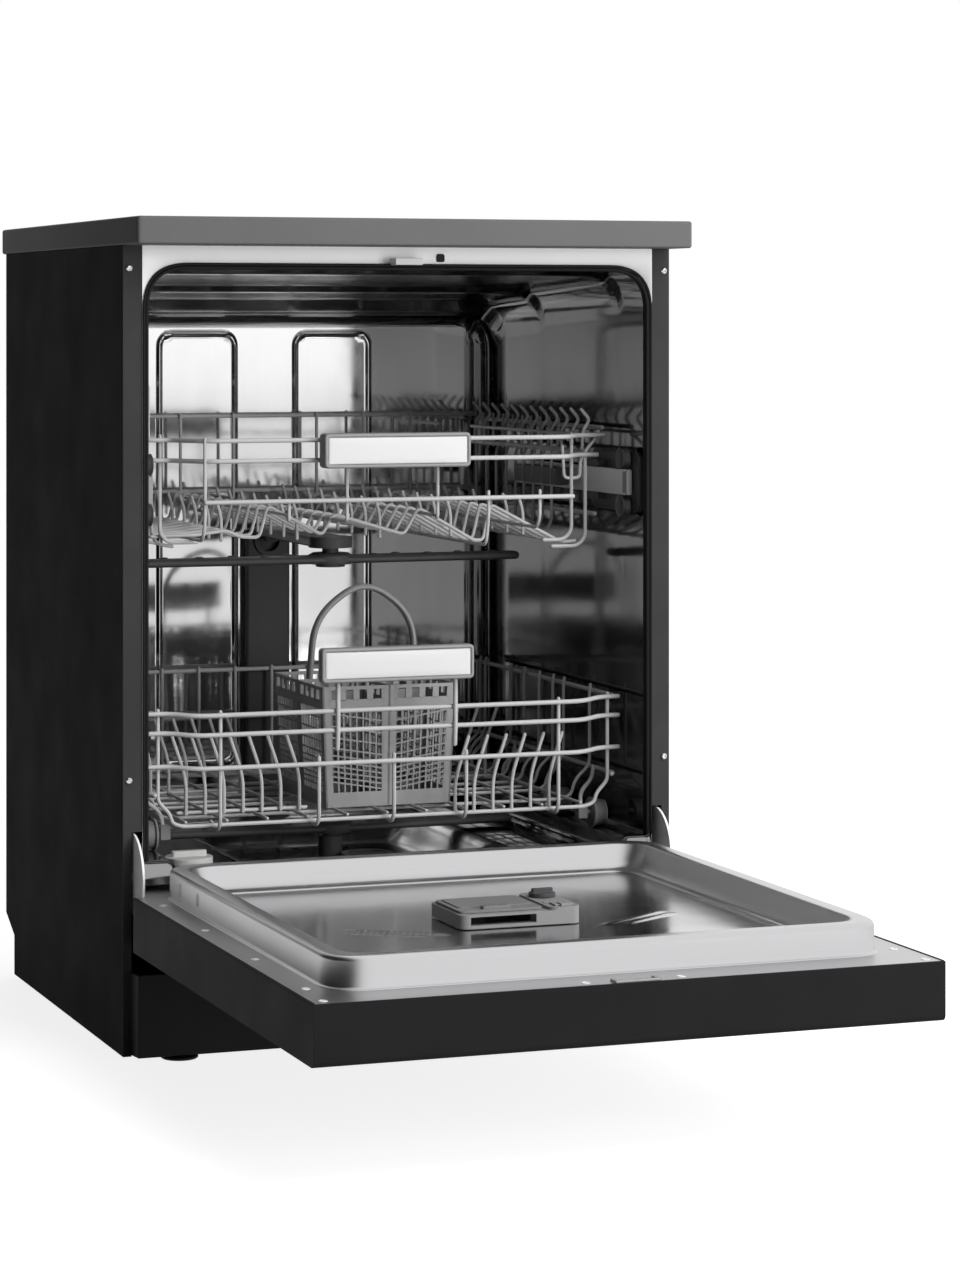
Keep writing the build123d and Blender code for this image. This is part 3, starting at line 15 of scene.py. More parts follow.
import bmesh
import bpy
import numpy as np
from numpy.typing import NDArray
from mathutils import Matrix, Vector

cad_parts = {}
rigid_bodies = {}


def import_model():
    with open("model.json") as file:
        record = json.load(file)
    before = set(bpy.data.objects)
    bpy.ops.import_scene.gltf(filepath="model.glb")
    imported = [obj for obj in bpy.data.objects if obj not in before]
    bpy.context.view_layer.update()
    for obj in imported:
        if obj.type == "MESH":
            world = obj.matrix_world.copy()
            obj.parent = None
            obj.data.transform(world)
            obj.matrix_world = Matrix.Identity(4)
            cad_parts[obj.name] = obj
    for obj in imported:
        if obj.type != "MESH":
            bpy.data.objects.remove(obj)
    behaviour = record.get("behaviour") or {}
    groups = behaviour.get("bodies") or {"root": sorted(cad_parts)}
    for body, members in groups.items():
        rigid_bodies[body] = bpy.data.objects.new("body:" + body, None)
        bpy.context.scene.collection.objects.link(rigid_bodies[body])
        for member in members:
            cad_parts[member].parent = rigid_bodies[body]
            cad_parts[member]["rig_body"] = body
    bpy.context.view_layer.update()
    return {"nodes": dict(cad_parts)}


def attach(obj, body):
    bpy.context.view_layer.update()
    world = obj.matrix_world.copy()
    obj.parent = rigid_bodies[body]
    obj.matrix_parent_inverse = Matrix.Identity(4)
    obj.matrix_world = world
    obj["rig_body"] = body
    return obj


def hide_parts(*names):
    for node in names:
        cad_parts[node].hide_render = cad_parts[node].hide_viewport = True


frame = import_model()

Array = NDArray[np.float64]
Point = tuple[float, float, float]
Pair = tuple[float, float]
Socket = bpy.types.NodeSocket

MM = 0.001
LOG = logging.getLogger("dishwasher")


# Finishes


class Pattern(Enum):
    """How a finish varies over its surface."""

    PEEL = "paint_peel"
    GRAIN = "moulded_grain"
    BRUSHED = "brushed_lines"
    CAST = "cast_stone"


@dataclass(frozen=True)
class Finish:
    """One finish of the machine: its base values and the pattern that varies them."""

    name: str
    colour: Point  # linear red, green and blue
    roughness: float  # its middle
    slot: str = ""  # material slot of the record
    pattern: Pattern = Pattern.CAST
    scale: float = 90.0  # pattern repeats in a metre
    depth: float = 0.02  # height of the pattern's relief in millimetres
    tone: float = 0.06  # share by which the pattern lightens and darkens the colour
    spread: float = 0.06  # how far the roughness swings to either side
    metallic: float = 0.0
    specular: float = 0.5
    coat: float = 0.0  # weight of a clear coat
    stretch: Point = (1.0, 1.0, 1.0)  # how the pattern is squeezed along each axis
    wear: float = 0.3  # how strongly handling marks show
    waves: float = 0.0  # height in millimetres of the broad waves of thin pressed sheet


@dataclass(frozen=True)
class Paint(Finish):
    """A sprayed finish with a fine peel."""

    slot: str = "black_casing"
    pattern: Pattern = Pattern.PEEL
    scale: float = 900.0
    depth: float = 0.01


@dataclass(frozen=True)
class Metal(Finish):
    """Bare sheet or rod, drawn or brushed."""

    slot: str = "stainless"
    pattern: Pattern = Pattern.BRUSHED
    scale: float = 420.0
    depth: float = 0.003
    spread: float = 0.05
    metallic: float = 1.0


@dataclass(frozen=True)
class Plastic(Finish):
    """A moulded part with a fine grain."""

    slot: str = "grey_plastic"
    pattern: Pattern = Pattern.GRAIN
    scale: float = 1600.0
    depth: float = 0.03
    tone: float = 0.10


def grey(level: float) -> Point:
    """A neutral colour of one linear level, a touch cool."""
    return (level, level, level * 1.01)


ALONG_X, ALONG_ROOF = (0.02, 1.0, 1.0), (0.03, 1.0, 1.0)
ALONG_Y, ALONG_Z = (1.0, 0.03, 1.0), (1.0, 1.0, 0.03)

CASING_PAINT = Paint("casing_paint", grey(0.0020), 0.40, tone=0.10, specular=0.004, wear=0.2)
STRIP_PAINT = Paint("strip_paint", grey(0.042), 0.38, tone=0.2, specular=0.05, wear=0.4)
DOOR_PAINT = Paint("door_paint", grey(0.017), 0.38, tone=0.12, specular=0.015)
GLOSS = Paint("window_gloss", grey(0.006), 0.08, "gloss_black", scale=300.0, depth=0.002, tone=0.1, spread=0.03,
              specular=0.4, coat=0.3)

# Painted shade: the tub's walls and the filter plate take a steel darkened far below bare stainless, standing in
# for the dark reflections on them.
PAINTED_SHADE_STEEL = Metal("tub_steel_painted_shade", (0.095, 0.095, 0.096), 0.07, scale=260.0, tone=0.08, spread=0.03, stretch=ALONG_Y,
              wear=0.4, waves=0.5)
# Painted shade: the roof and the low sill of the flange take a darker copy of the stainless.
ROOF_PAINTED_SHADE_STEEL = Metal("roof_steel_painted_shade", (0.32, 0.32, 0.323), 0.12, scale=260.0, tone=0.08, spread=0.03,
                   stretch=ALONG_ROOF, wear=0.4, waves=0.4)
# Painted reflection: the rear wall's steel is raised to near white so that its bright reflections are painted into
# it.
REAR_WALL_PAINTED_REFLECTION = Metal("rear_wall_steel_painted_reflection", (0.97, 0.97, 0.97), 0.05, scale=260.0, depth=0.002, tone=0.05,
                   spread=0.02, stretch=ALONG_Z, wear=0.4, waves=0.7)
LINER_STEEL = Metal("lining_steel", (0.66, 0.66, 0.67), 0.30, depth=0.008, stretch=ALONG_X, waves=0.1)
DISH_STEEL = Metal("dish_steel", (0.62, 0.62, 0.625), 0.16, depth=0.006, tone=0.08, stretch=ALONG_X, wear=0.4,
                   waves=0.4)
FLANGE_STEEL = Metal("flange_steel", (0.60, 0.60, 0.61), 0.34, depth=0.008, spread=0.06, stretch=ALONG_X)
# Painted light: the opening's lip is lightened to near white to make up for the shadow of the worktop's overhang.
LIP_PAINTED_LIGHT = Metal("opening_lip_steel_painted_light", (0.95, 0.95, 0.95), 0.45, depth=0.006, tone=0.03, metallic=0.0,
                   stretch=ALONG_X, wear=0.2)
BRIGHT_RAIL = Metal("rail_zinc", grey(0.80), 0.30, "bright_steel", scale=900.0, depth=0.004, metallic=0.35)
CHROME = Metal("bright_zinc", (0.78, 0.78, 0.78), 0.20, "bright_steel", scale=900.0, spread=0.06)
ZINC = Finish("galvanised_steel", (0.52, 0.53, 0.54), 0.42, "galvanised", tone=0.22, spread=0.12, metallic=1.0)
BALLAST = Finish("ballast_concrete", (0.30, 0.29, 0.28), 0.85, "ballast", scale=120.0, depth=0.35, tone=0.30,
                 spread=0.08)

LAMINATE = Plastic("worktop_laminate", grey(0.13), 0.42, "black_laminate", scale=1500.0, tone=0.12,
                   specular=0.02, wear=0.4)
# Painted light: the wheels' ribs and spokes are made near white so that they read bright on the wheels' shaded
# face.
SPOKE_PAINTED_LIGHT = Plastic("wheel_rib_grey_painted_light", grey(0.90), 0.40, depth=0.02, tone=0.08)
WIRE = Plastic("coated_wire_grey", (0.46, 0.46, 0.465), 0.34, "coated_wire", scale=1800.0, depth=0.02,
               specular=0.6, wear=0.4)
MID_GREY = Plastic("rack_plastic_grey", (0.20, 0.20, 0.203), 0.42, specular=0.4)
LIGHT_GREY = Plastic("grip_frame_grey", (0.27, 0.27, 0.275), 0.38, depth=0.02, tone=0.08)
BASKET_GREY = Plastic("cutlery_plastic_grey", grey(0.29), 0.40)
DARK_GREY = Plastic("spray_plastic_grey", (0.060, 0.060, 0.062), 0.40, scale=1500.0, tone=0.15, specular=0.35)
PALE = Plastic("grip_insert_pale", (0.66, 0.66, 0.66), 0.32, "pale_plastic", scale=1400.0, depth=0.012,
               tone=0.03, wear=0.15)
WHITE = Plastic("fitting_white", (0.66, 0.66, 0.65), 0.38, "white_plastic", scale=1400.0, depth=0.02, tone=0.04)
BLACK = Plastic("moulded_black", grey(0.010), 0.45, "black_plastic", tone=0.2, specular=0.25)
BASE = Plastic("base_moulding", grey(0.016), 0.55, "base_plastic", scale=900.0, depth=0.05, tone=0.2,
               specular=0.2)
RUBBER = Plastic("seal_rubber_dark", grey(0.012), 0.60, "seal_rubber", scale=700.0, depth=0.05, tone=0.25,
                 specular=0.2)


class Nodes:
    """A thin hand on a node tree: adds nodes with values and links in one call."""

    def __init__(self, tree: bpy.types.NodeTree) -> None:
        """Keep the tree that the nodes go into."""
        self.tree = tree

    def add(self, kind: str, settings: dict | None = None, **inputs: object) -> bpy.types.Node:
        """Add a node.

        Args:
            kind: node type without its prefix.
            settings: properties set on the node itself.
            **inputs: value or socket for each input, named with underscores for spaces or as _NUMBER.

        Returns:
            The new node.
        """
        node = self.tree.nodes.new(("" if kind.startswith("Node") else "ShaderNode") + kind)
        for key, value in (settings or {}).items():
            setattr(node, key, value)
        for key, value in inputs.items():
            self.put(node, int(key[1:]) if key[1:].isdigit() else key.replace("_", " "), value)
        return node

    def put(self, node: bpy.types.Node, key: str | int, value: object) -> None:
        """Give an input of a node a value, or link a socket to it."""
        if isinstance(value, Socket):
            self.tree.links.new(value, node.inputs[key])
        else:
            node.inputs[key].default_value = value

    def maths(self, operation: str, *values: object, clamp: bool = False) -> Socket:
        """The result of a maths node on two or three values."""
        inputs = {f"_{place}": value for place, value in enumerate(values)}
        return self.add("Math", {"operation": operation, "use_clamp": clamp}, **inputs).outputs[0]

    def scaled(self, value: object, low: float, high: float, start: float = 0.0, end: float = 1.0,
               soft: bool = False) -> Socket:
        """Map a value from start and end to low and high, held at its ends, and eased if soft."""
        settings = {"clamp": True, "interpolation_type": "SMOOTHSTEP" if soft else "LINEAR"}
        return self.add("MapRange", settings, Value=value, From_Min=start, From_Max=end, To_Min=low,
                        To_Max=high).outputs[0]

    def noise(self, vector: Socket, scale: object, detail: float, roughness: float = 0.5,
              distortion: float = 0.0) -> Socket:
        """The grey output of a noise texture."""
        return self.add("TexNoise", Vector=vector, Scale=scale, Detail=detail, Roughness=roughness,
                        Distortion=distortion).outputs[0]


def pattern_group(pattern: Pattern) -> bpy.types.NodeTree:
    """The node group of one pattern, built the first time that it is asked for.

    Paint peel is soft cells, moulded grain is fine noise with pits, brushed lines are noise that the
    material has stretched, and cast stone is noise over angular cells. Marks are soft patches left by
    hands, water and wiping, and Waves is the slow swing of thin sheet.

    Args:
        pattern: which surface.

    Returns:
        The shared group, which takes coordinates and a scale.
    """
    found = bpy.data.node_groups.get(pattern.value)
    if found:
        return found
    group = bpy.data.node_groups.new(pattern.value, "ShaderNodeTree")
    group.interface.new_socket("Vector", in_out="INPUT", socket_type="NodeSocketVector")
    group.interface.new_socket("Scale", in_out="INPUT", socket_type="NodeSocketFloat")
    for output in ("Tone", "Height", "Marks", "Waves"):
        group.interface.new_socket(output, in_out="OUTPUT", socket_type="NodeSocketFloat")
    nodes = Nodes(group)
    vector, scale = nodes.add("NodeGroupInput").outputs[:2]
    fine = nodes.noise(vector, scale, 5.0, 0.62)
    tone, height = fine, fine
    if pattern is Pattern.PEEL:
        cells = nodes.add("TexVoronoi", {"feature": "SMOOTH_F1"}, Vector=vector, Scale=scale, Smoothness=1.0)
        height = cells.outputs["Distance"]
        tone = nodes.noise(vector, 14.0, 3.0)
    elif pattern is Pattern.BRUSHED:
        bands = nodes.noise(vector, nodes.maths("MULTIPLY", scale, 0.22), 2.0)
        tone = nodes.maths("MULTIPLY_ADD", bands, 0.6, nodes.scaled(fine, 0.0, 0.4))
    else:
        cells = nodes.add("TexVoronoi", Vector=vector, Scale=scale)
        height = nodes.maths("MULTIPLY_ADD", cells.outputs["Distance"], 0.5, fine)
        tone = cells.outputs["Color"] if pattern is Pattern.CAST else fine
    place = nodes.add("TexCoord").outputs["Object"]
    broad, small = nodes.noise(place, 7.0, 4.0, 0.6), nodes.noise(place, 45.0, 3.0, 0.7)
    patches = nodes.maths("MULTIPLY_ADD", small, 0.35, broad)
    long = nodes.add("Mapping", Vector=place, Scale=(1.0, 1.0, 0.35)).outputs[0]
    nodes.add("NodeGroupOutput", Tone=tone, Height=height, Marks=nodes.scaled(patches, 0.0, 1.0, 0.55, 0.85),
              Waves=nodes.noise(long, 9.0, 1.5, 0.4, 0.6))
    return group


def material(finish: Finish) -> bpy.types.Material:
    """The material of a finish, built the first time that it is asked for.

    The base colour is the finish's colour times a tone between 1 - tone and 1 + tone, the roughness
    swings about its middle with the tone and grows with the handling marks, and the height feeds a bump.

    Args:
        finish: which finish.

    Returns:
        The material.
    """
    found = bpy.data.materials.get(finish.name)
    if found:
        return found
    made = bpy.data.materials.new(finish.name)
    made.use_nodes = True
    nodes = Nodes(made.node_tree)
    place = nodes.add("TexCoord").outputs["Object"]
    turned = nodes.add("Mapping", Vector=place, Scale=finish.stretch).outputs[0]
    tree = {"node_tree": pattern_group(finish.pattern)}
    tone, height, marks, waves = nodes.add("Group", tree, Vector=turned, Scale=finish.scale).outputs
    factor = nodes.scaled(tone, 1.0 - finish.tone, 1.0 + finish.tone)
    stained = nodes.maths("MULTIPLY_ADD", marks, finish.wear * finish.tone, factor)
    swing = nodes.scaled(tone, finish.roughness - finish.spread, finish.roughness + finish.spread)
    bump = nodes.add("Bump", Height=height, Strength=0.6, Distance=finish.depth * MM)
    if finish.waves:
        sheet = nodes.add("Bump", Height=waves, Strength=1.0, Distance=finish.waves * MM)
        nodes.put(bump, "Normal", sheet.outputs[0])
    values = {
        "Base Color": nodes.add("VectorMath", {"operation": "SCALE"}, _0=finish.colour, Scale=stained).outputs[0],
        "Roughness": nodes.maths("MULTIPLY_ADD", marks, finish.wear * 0.12, swing, clamp=True),
        "Normal": bump.outputs[0], "Metallic": finish.metallic, "Specular IOR Level": finish.specular,
        "Coat Weight": finish.coat, "Coat Roughness": 0.06}
    for key, value in values.items():
        nodes.put(made.node_tree.nodes["Principled BSDF"], key, value)
    return made


# Shapes


class Axis(Enum):
    """One of the three axes of the frame."""

    X = 0
    Y = 1
    Z = 2


@dataclass(frozen=True)
class Shape:
    """A mesh before it is made: points in millimetres, and blocks of faces of equal corner count."""

    points: Array
    faces: tuple[NDArray[np.int64], ...]

    def moved(self, x: float = 0.0, y: float = 0.0, z: float = 0.0) -> "Shape":
        """The same shape at another place."""
        return Shape(self.points + np.array([x, y, z]), self.faces)

    def turned(self, matrix: Sequence[Point]) -> "Shape":
        """The shape with its points, as rows, multiplied by a matrix."""
        return Shape(self.points @ np.array(matrix), self.faces)

    def mirrored(self) -> "Shape":
        """The same shape on the other side of the machine."""
        return Shape(self.points * np.array([-1.0, 1.0, 1.0]), tuple(block[:, ::-1] for block in self.faces))

    def paired(self) -> "Shape":
        """The shape with its mirror image."""
        return join([self, self.mirrored()])

    def chosen(self, kept: NDArray[np.bool_]) -> "Shape":
        """The faces of the first block that are kept."""
        return Shape(self.points, (self.faces[0][kept],))


def join(shapes: Sequence[Shape]) -> Shape:
    """Put shapes into one: the face numbers of each are raised by the points before it."""
    starts = np.cumsum([0] + [len(shape.points) for shape in shapes[:-1]])
    faces = tuple(block + start for shape, start in zip(shapes, starts) for block in shape.faces)
    return Shape(np.vstack([shape.points for shape in shapes]), faces)


def copies(shape: Shape, x: Sequence[float] = (0.0,), y: Sequence[float] = (0.0,),
           z: Sequence[float] = (0.0,)) -> Shape:
    """Repeat a shape: its points plus each shift in turn, where shorter lists start again.

    Args:
        shape: what is repeated.
        x: shifts along X.
        y: shifts along Y.
        z: shifts along Z.

    Returns:
        All the copies in one shape.
    """
    count = max(len(x), len(y), len(z))
    shifts = np.stack([np.resize(np.asarray(values, float), count) for values in (x, y, z)], axis=1)
    points = (shape.points[None] + shifts[:, None]).reshape(-1, 3)
    starts = (np.arange(count) * len(shape.points))[:, None, None]
    faces = tuple((block[None] + starts).reshape(-1, block.shape[1]) for block in shape.faces)
    return Shape(points, faces)


def skin(rings: Array, closed: bool = True, capped: bool = True) -> Shape:
    """Surface through a stack of rings: each face joins neighbours on a ring and on the next.

    Args:
        rings: array of rings by points by 3.
        closed: whether each ring closes on itself.
        capped: whether the first and last rings are filled.

    Returns:
        The surface.
    """
    count, around = rings.shape[:2]
    here = np.arange(around if closed else around - 1)
    row = np.arange(count - 1)[:, None] * around
    after = (here + 1) % around
    quads = np.stack([row + here, row + after, row + around + after, row + around + here], axis=-1)
    faces = [quads.reshape(-1, 4)]
    if capped and closed:
        faces += [np.arange(around)[None, ::-1], (np.arange(around) + (count - 1) * around)[None]]
    return Shape(rings.reshape(-1, 3), tuple(faces))


def field(x: Array, y: Array, z: Array) -> Shape:
    """An open sheet through a grid of points."""
    return skin(np.stack([x, y, z], axis=-1), closed=False)


def unit(vectors: Array) -> Array:
    """Vectors scaled to length one."""
    return vectors / np.linalg.norm(vectors, axis=-1, keepdims=True)


def bend_corners(points: Array, radii: Array, steps: int, closed: bool = False) -> Array:
    """Round the corners of a polyline.

    Each corner C between neighbours A and B becomes the quadratic curve
    (1 - t)^2 P + 2 t (1 - t) C + t^2 Q, where P and Q lie on the two runs at the corner's radius.

    Args:
        points: corners, by 2 or 3 numbers.
        radii: reach of the rounding at each corner.
        steps: points on each rounded corner.
        closed: whether the last corner joins the first.

    Returns:
        The points of the rounded line.
    """
    back, ahead = np.roll(points, 1, axis=0) - points, np.roll(points, -1, axis=0) - points
    back_len = np.linalg.norm(back, axis=1, keepdims=True)
    ahead_len = np.linalg.norm(ahead, axis=1, keepdims=True)
    reach = np.minimum(np.minimum(radii[:, None], 0.48 * back_len), 0.48 * ahead_len)
    start, end = points + back / back_len * reach, points + ahead / ahead_len * reach
    t = np.linspace(0.0, 1.0, steps)[None, :, None]
    curve = (1 - t) ** 2 * start[:, None] + 2 * t * (1 - t) * points[:, None] + t ** 2 * end[:, None]
    if closed:
        return curve.reshape(-1, points.shape[1])
    return np.vstack([points[:1], curve[1:-1].reshape(-1, points.shape[1]), points[-1:]])


def tube(path: Array, radius: float, sides: int = 8) -> Shape:
    """Round wire along a path, with domed ends.

    Ring k is path[k] + radius (cos a across + sin a lift), where lift is the normal of the path's
    plane and across is square to it and to the run. The end rings close in along a quarter circle.

    Args:
        path: centre line, by 3 numbers.
        radius: half the wire's thickness.
        sides: corners of the section.

    Returns:
        The closed tube.
    """
    run = unit(np.gradient(path, axis=0))
    normal = np.linalg.svd(path - path.mean(axis=0), full_matrices=True)[2][2]
    dome = np.radians([80.0, 50.0, 25.0])[:, None]
    centres = np.vstack([path[0] - run[0] * radius * np.sin(dome), path,
                         path[-1] + run[-1] * radius * np.sin(dome[::-1])])
    run = np.vstack([run[:1].repeat(3, axis=0), run, run[-1:].repeat(3, axis=0)])
    shrink = radius * np.cos(dome[:, 0])
    reach = np.concatenate([shrink, np.full(len(path), radius), shrink[::-1]])[:, None, None]
    lift = unit(normal - run * (run @ normal)[:, None])
    across = np.cross(run, lift)
    angle = np.linspace(0.0, 2 * np.pi, sides, endpoint=False)[None, :, None]
    return skin(centres[:, None] + reach * (np.cos(angle) * across[:, None] + np.sin(angle) * lift[:, None]))


FINE, UPRIGHT, STRONG = 1.9, 2.1, 2.5  # radii of the racks' wires


def wire(points: Sequence[Point], radius: float = FINE, bend: float = 7.0, sides: int = 8) -> Shape:
    """A bent wire: a tube along the points with each corner rounded, finer round where it is strong."""
    line = np.array(points, float)
    return tube(bend_corners(line, np.full(len(line), bend), 5), radius, 10 if radius == STRONG else sides)


def prism(outline: Array, low: float, high: float, axis: Axis = Axis.Z) -> Shape:
    """An outline carried straight along an axis: its columns are the two other axes in order."""
    rings = np.empty((2, len(outline), 3))
    rings[:, :, [other.value for other in Axis if other is not axis]] = outline
    rings[0, :, axis.value], rings[1, :, axis.value] = low, high
    return skin(rings)


def block(low: Point, high: Point) -> Shape:
    """A plain bar between two corners, to be softened by a bevel."""
    (x0, y0, z0), (x1, y1, z1) = low, high
    return prism(np.array([(x0, y0), (x1, y0), (x1, y1), (x0, y1)]), z0, z1)


def rounded_rectangle(width: float, height: float, radius: float, centre: Pair = (0.0, 0.0),
                      steps: int = 6) -> Array:
    """Outline of a rectangle, width along the first column, with corners of one radius."""
    corners = np.array([(-1, -1), (1, -1), (1, 1), (-1, 1)]) * (width / 2, height / 2) + np.array(centre)
    return bend_corners(corners, np.full(4, radius), steps, closed=True)


def nested(width: float, height: float, centre: Pair, axis: Axis, levels: Sequence[Point], steps: int) -> Array:
    """Rounded rectangles, each drawn in by its level's inset, at its place on the axis, with its radius."""
    return np.array([np.insert(rounded_rectangle(width - 2 * inset, height - 2 * inset, radius, centre, steps),
                               axis.value, place, axis=1) for inset, place, radius in levels])


def lathe(profile: Sequence[Pair], centre: Point, axis: Axis = Axis.Z, steps: int = 28,
          capped: bool = True) -> Shape:
    """A profile turned about an axis.

    Args:
        profile: radius and distance along the axis, from one end to the other.
        centre: point that the distances start from.
        axis: axis of the turning.
        steps: corners around.
        capped: whether the first and last rings are filled.

    Returns:
        The turned shape: each ring is radius (cos a, sin a) in the two other axes.
    """
    radius, along = np.array(profile, float).T
    angle = np.linspace(0.0, 2 * np.pi, steps, endpoint=False)
    rings = np.empty((len(radius), steps, 3))
    one, two = [other.value for other in Axis if other is not axis]
    rings[:, :, one] = radius[:, None] * np.cos(angle)
    rings[:, :, two] = radius[:, None] * np.sin(angle)
    rings[:, :, axis.value] = along[:, None]
    return skin(rings + np.array(centre), capped=capped)


def lines(*runs: tuple[float, float, int]) -> Array:
    """Grid lines of several runs in one order, each run given by its ends and count."""
    return np.unique(np.concatenate([np.linspace(*run) for run in runs]))


def smooth_step(value: Array) -> Array:
    """3 t^2 - 2 t^3 for t held between 0 and 1."""
    t = np.clip(value, 0.0, 1.0)
    return t * t * (3 - 2 * t)


def rectangle_distance(x: Array, z: Array, half_w: float, half_h: float, radius: float) -> Array:
    """Distance outside a rounded rectangle about the origin, negative inside it.

    It is the length of the part of (|x|, |z|) beyond the inner rectangle, less the corner radius,
    plus the larger shortfall where both are inside.
    """
    dx, dz = np.abs(x) - (half_w - radius), np.abs(z) - (half_h - radius)
    outside = np.hypot(np.maximum(dx, 0.0), np.maximum(dz, 0.0))
    return outside + np.minimum(np.maximum(dx, dz), 0.0) - radius


# Pieces


def piece(name: str, shape: Shape | None, finish: Finish, node: str, bevel: float = 0.0, sheet: float = 0.0,
          sharp: float = 38.0) -> None:
    """Make a piece that stands for a solid and rides on its body.

    A shape's doubled points are merged, and its faces turned outwards where it is closed. Without a
    shape the piece is the solid itself, its triangles merged into whole faces.

    Args:
        name: name of the piece.
        shape: its shape in millimetres, or None for the solid's own.
        finish: its finish.
        node: solid that it stands for.
        bevel: width of the softened edges.
        sheet: wall given to an open surface; negative is inwards.
        sharp: angle in degrees above which an edge stays sharp.
    """
    solid = frame["nodes"][node]
    mesh = bpy.data.meshes.new(name) if shape else solid.data.copy()
    work = bmesh.new()
    if shape:
        rows = [row for part in shape.faces for row in part.tolist()]
        mesh.from_pydata((shape.points * MM).tolist(), [], rows)
    mesh.materials.clear()
    work.from_mesh(mesh)
    bmesh.ops.remove_doubles(work, verts=work.verts, dist=1e-6 if shape else 2e-6)
    if not shape:
        bmesh.ops.dissolve_limit(work, angle_limit=math.radians(0.6), verts=work.verts, edges=work.edges)
    elif not sheet:
        bmesh.ops.recalc_face_normals(work, faces=work.faces)
    work.to_mesh(mesh)
    work.free()
    mesh.shade_smooth()
    mesh.set_sharp_from_angle(angle=math.radians(sharp))
    made = bpy.data.objects.new(name, mesh)
    bpy.context.scene.collection.objects.link(made)
    mesh.materials.append(material(finish))
    if sheet:
        wall = made.modifiers.new("wall", "SOLIDIFY")
        wall.thickness, wall.offset = abs(sheet) * MM, math.copysign(1.0, sheet)
    if bevel:
        soft = made.modifiers.new("soft_edges", "BEVEL")
        soft.width, soft.segments, soft.limit_method = bevel * MM, 2, "ANGLE"
        soft.angle_limit, soft.harden_normals = math.radians(35.0), True
    body = solid["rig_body"]
    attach(made, body)
    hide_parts(node)
    LOG.info("%s: %d faces on %s", name, len(mesh.polygons), body)


def dress(*solids: tuple[str, Finish, float]) -> None:
    """Softened copies of solids, each given by its name, its finish and the width of its soft edges."""
    for node, finish, bevel in solids:
        piece(node + "_dressed", None, finish, node, bevel, sharp=30.0)


# Casing


@dataclass(frozen=True)
class Casing:
    """Worktop, sheet casing, base, feet, ballast and the works under the tub."""

    half_width: float = 299.0
    half_depth: float = 300.0
    height: float = 845.0
    worktop: float = 28.0
    back_y: float = 282.0
    foot_x: float = 241.0
    foot_ys: Pair = (-246.0, 205.0)
    screw_x: float = 291.5
    screw_zs: Pair = (280.0, 794.0)

    def build(self) -> None:
        """Build every piece of the casing."""
        top = prism(rounded_rectangle(2 * self.half_width, 2 * self.half_depth, 5.0),
                    self.height - self.worktop, self.height)
        piece("worktop_board", top, LAMINATE, "worktop", bevel=2.4)
        dress(("left_side_panel", CASING_PAINT, 0.5), ("right_side_panel", CASING_PAINT, 0.5),
              ("front_pillars", STRIP_PAINT, 0.4), ("plinth", STRIP_PAINT, 1.0), ("base_tray", BASE, 0.8))
        self.rear_sheet()
        self.screws()
        self.feet()
        dress(("counterweight", BALLAST, 2.5), ("circulation_pump", ZINC, 1.2), ("drain_pump", WHITE, 1.2),
              ("inlet_valve", WHITE, 0.6), ("cable_gland", BLACK, 0.6), ("water_tank", WHITE, 1.5),
              ("hinge_brackets", ZINC, 0.3))

    def rear_sheet(self) -> None:
        """Rear sheet: y = back - 5 s(d / 6), where d is how far inside a long slot the point is."""
        x, z = np.meshgrid(lines((-296.8, 296.8, 60), (-152, -108, 30), (108, 152, 30)),
                           lines((112, 817, 60), (200, 235, 16), (705, 740, 16)))
        inside = -rectangle_distance(np.abs(x) - 130, z - 470, 18, 260, 17.9)
        y = self.back_y - 5.0 * smooth_step(inside / 6.0)
        piece("rear_sheet", field(x, y, z), ZINC, "back_panel", sheet=-1.2)

    def screws(self) -> None:
        """Dome heads with a driver recess, turned from a quarter-round profile."""
        profile = [(0.01, -1.2), (1.3, -1.2), (1.5, -2.2), (2.2, -2.35), (3.0, -1.9), (3.5, -0.9), (3.6, 0.0)]
        column = copies(lathe(profile, (self.screw_x, -240.0, 0), Axis.Y), z=self.screw_zs)
        piece("strip_screws", column.paired(), CHROME, "casing_screws")

    def feet(self) -> None:
        """Levelling feet: a ribbed pad, a hexagon and a threaded stem with rounded threads."""
        turns = np.linspace(9.0, 50.0, 54)
        thread = list(zip(4.7 + 0.35 * np.cos(turns * 2 * np.pi / 1.6), turns))
        pad = [(0.01, 0.0), (17.5, 0.0), (19.0, 1.0), (18.8, 2.6), (17.0, 4.0), (0.01, 4.0)]
        angle = np.arange(6) * np.pi / 3
        nut = np.stack([11 * np.cos(angle), 11 * np.sin(angle)], axis=1)
        foot = join([lathe(pad, (0, 0, 0), steps=36), prism(nut, 3.8, 8.6),
                     lathe([(0.01, 8.0)] + thread + [(0.01, 50.5)], (0, 0, 0), steps=18)])
        for end, y in zip(("front", "rear"), self.foot_ys):
            for side, x in (("left", -self.foot_x), ("right", self.foot_x)):
                name = f"{end}_{side}_foot"
                piece(name + "_turned", foot.moved(x, y), BLACK, name, bevel=0.4)


# Tub


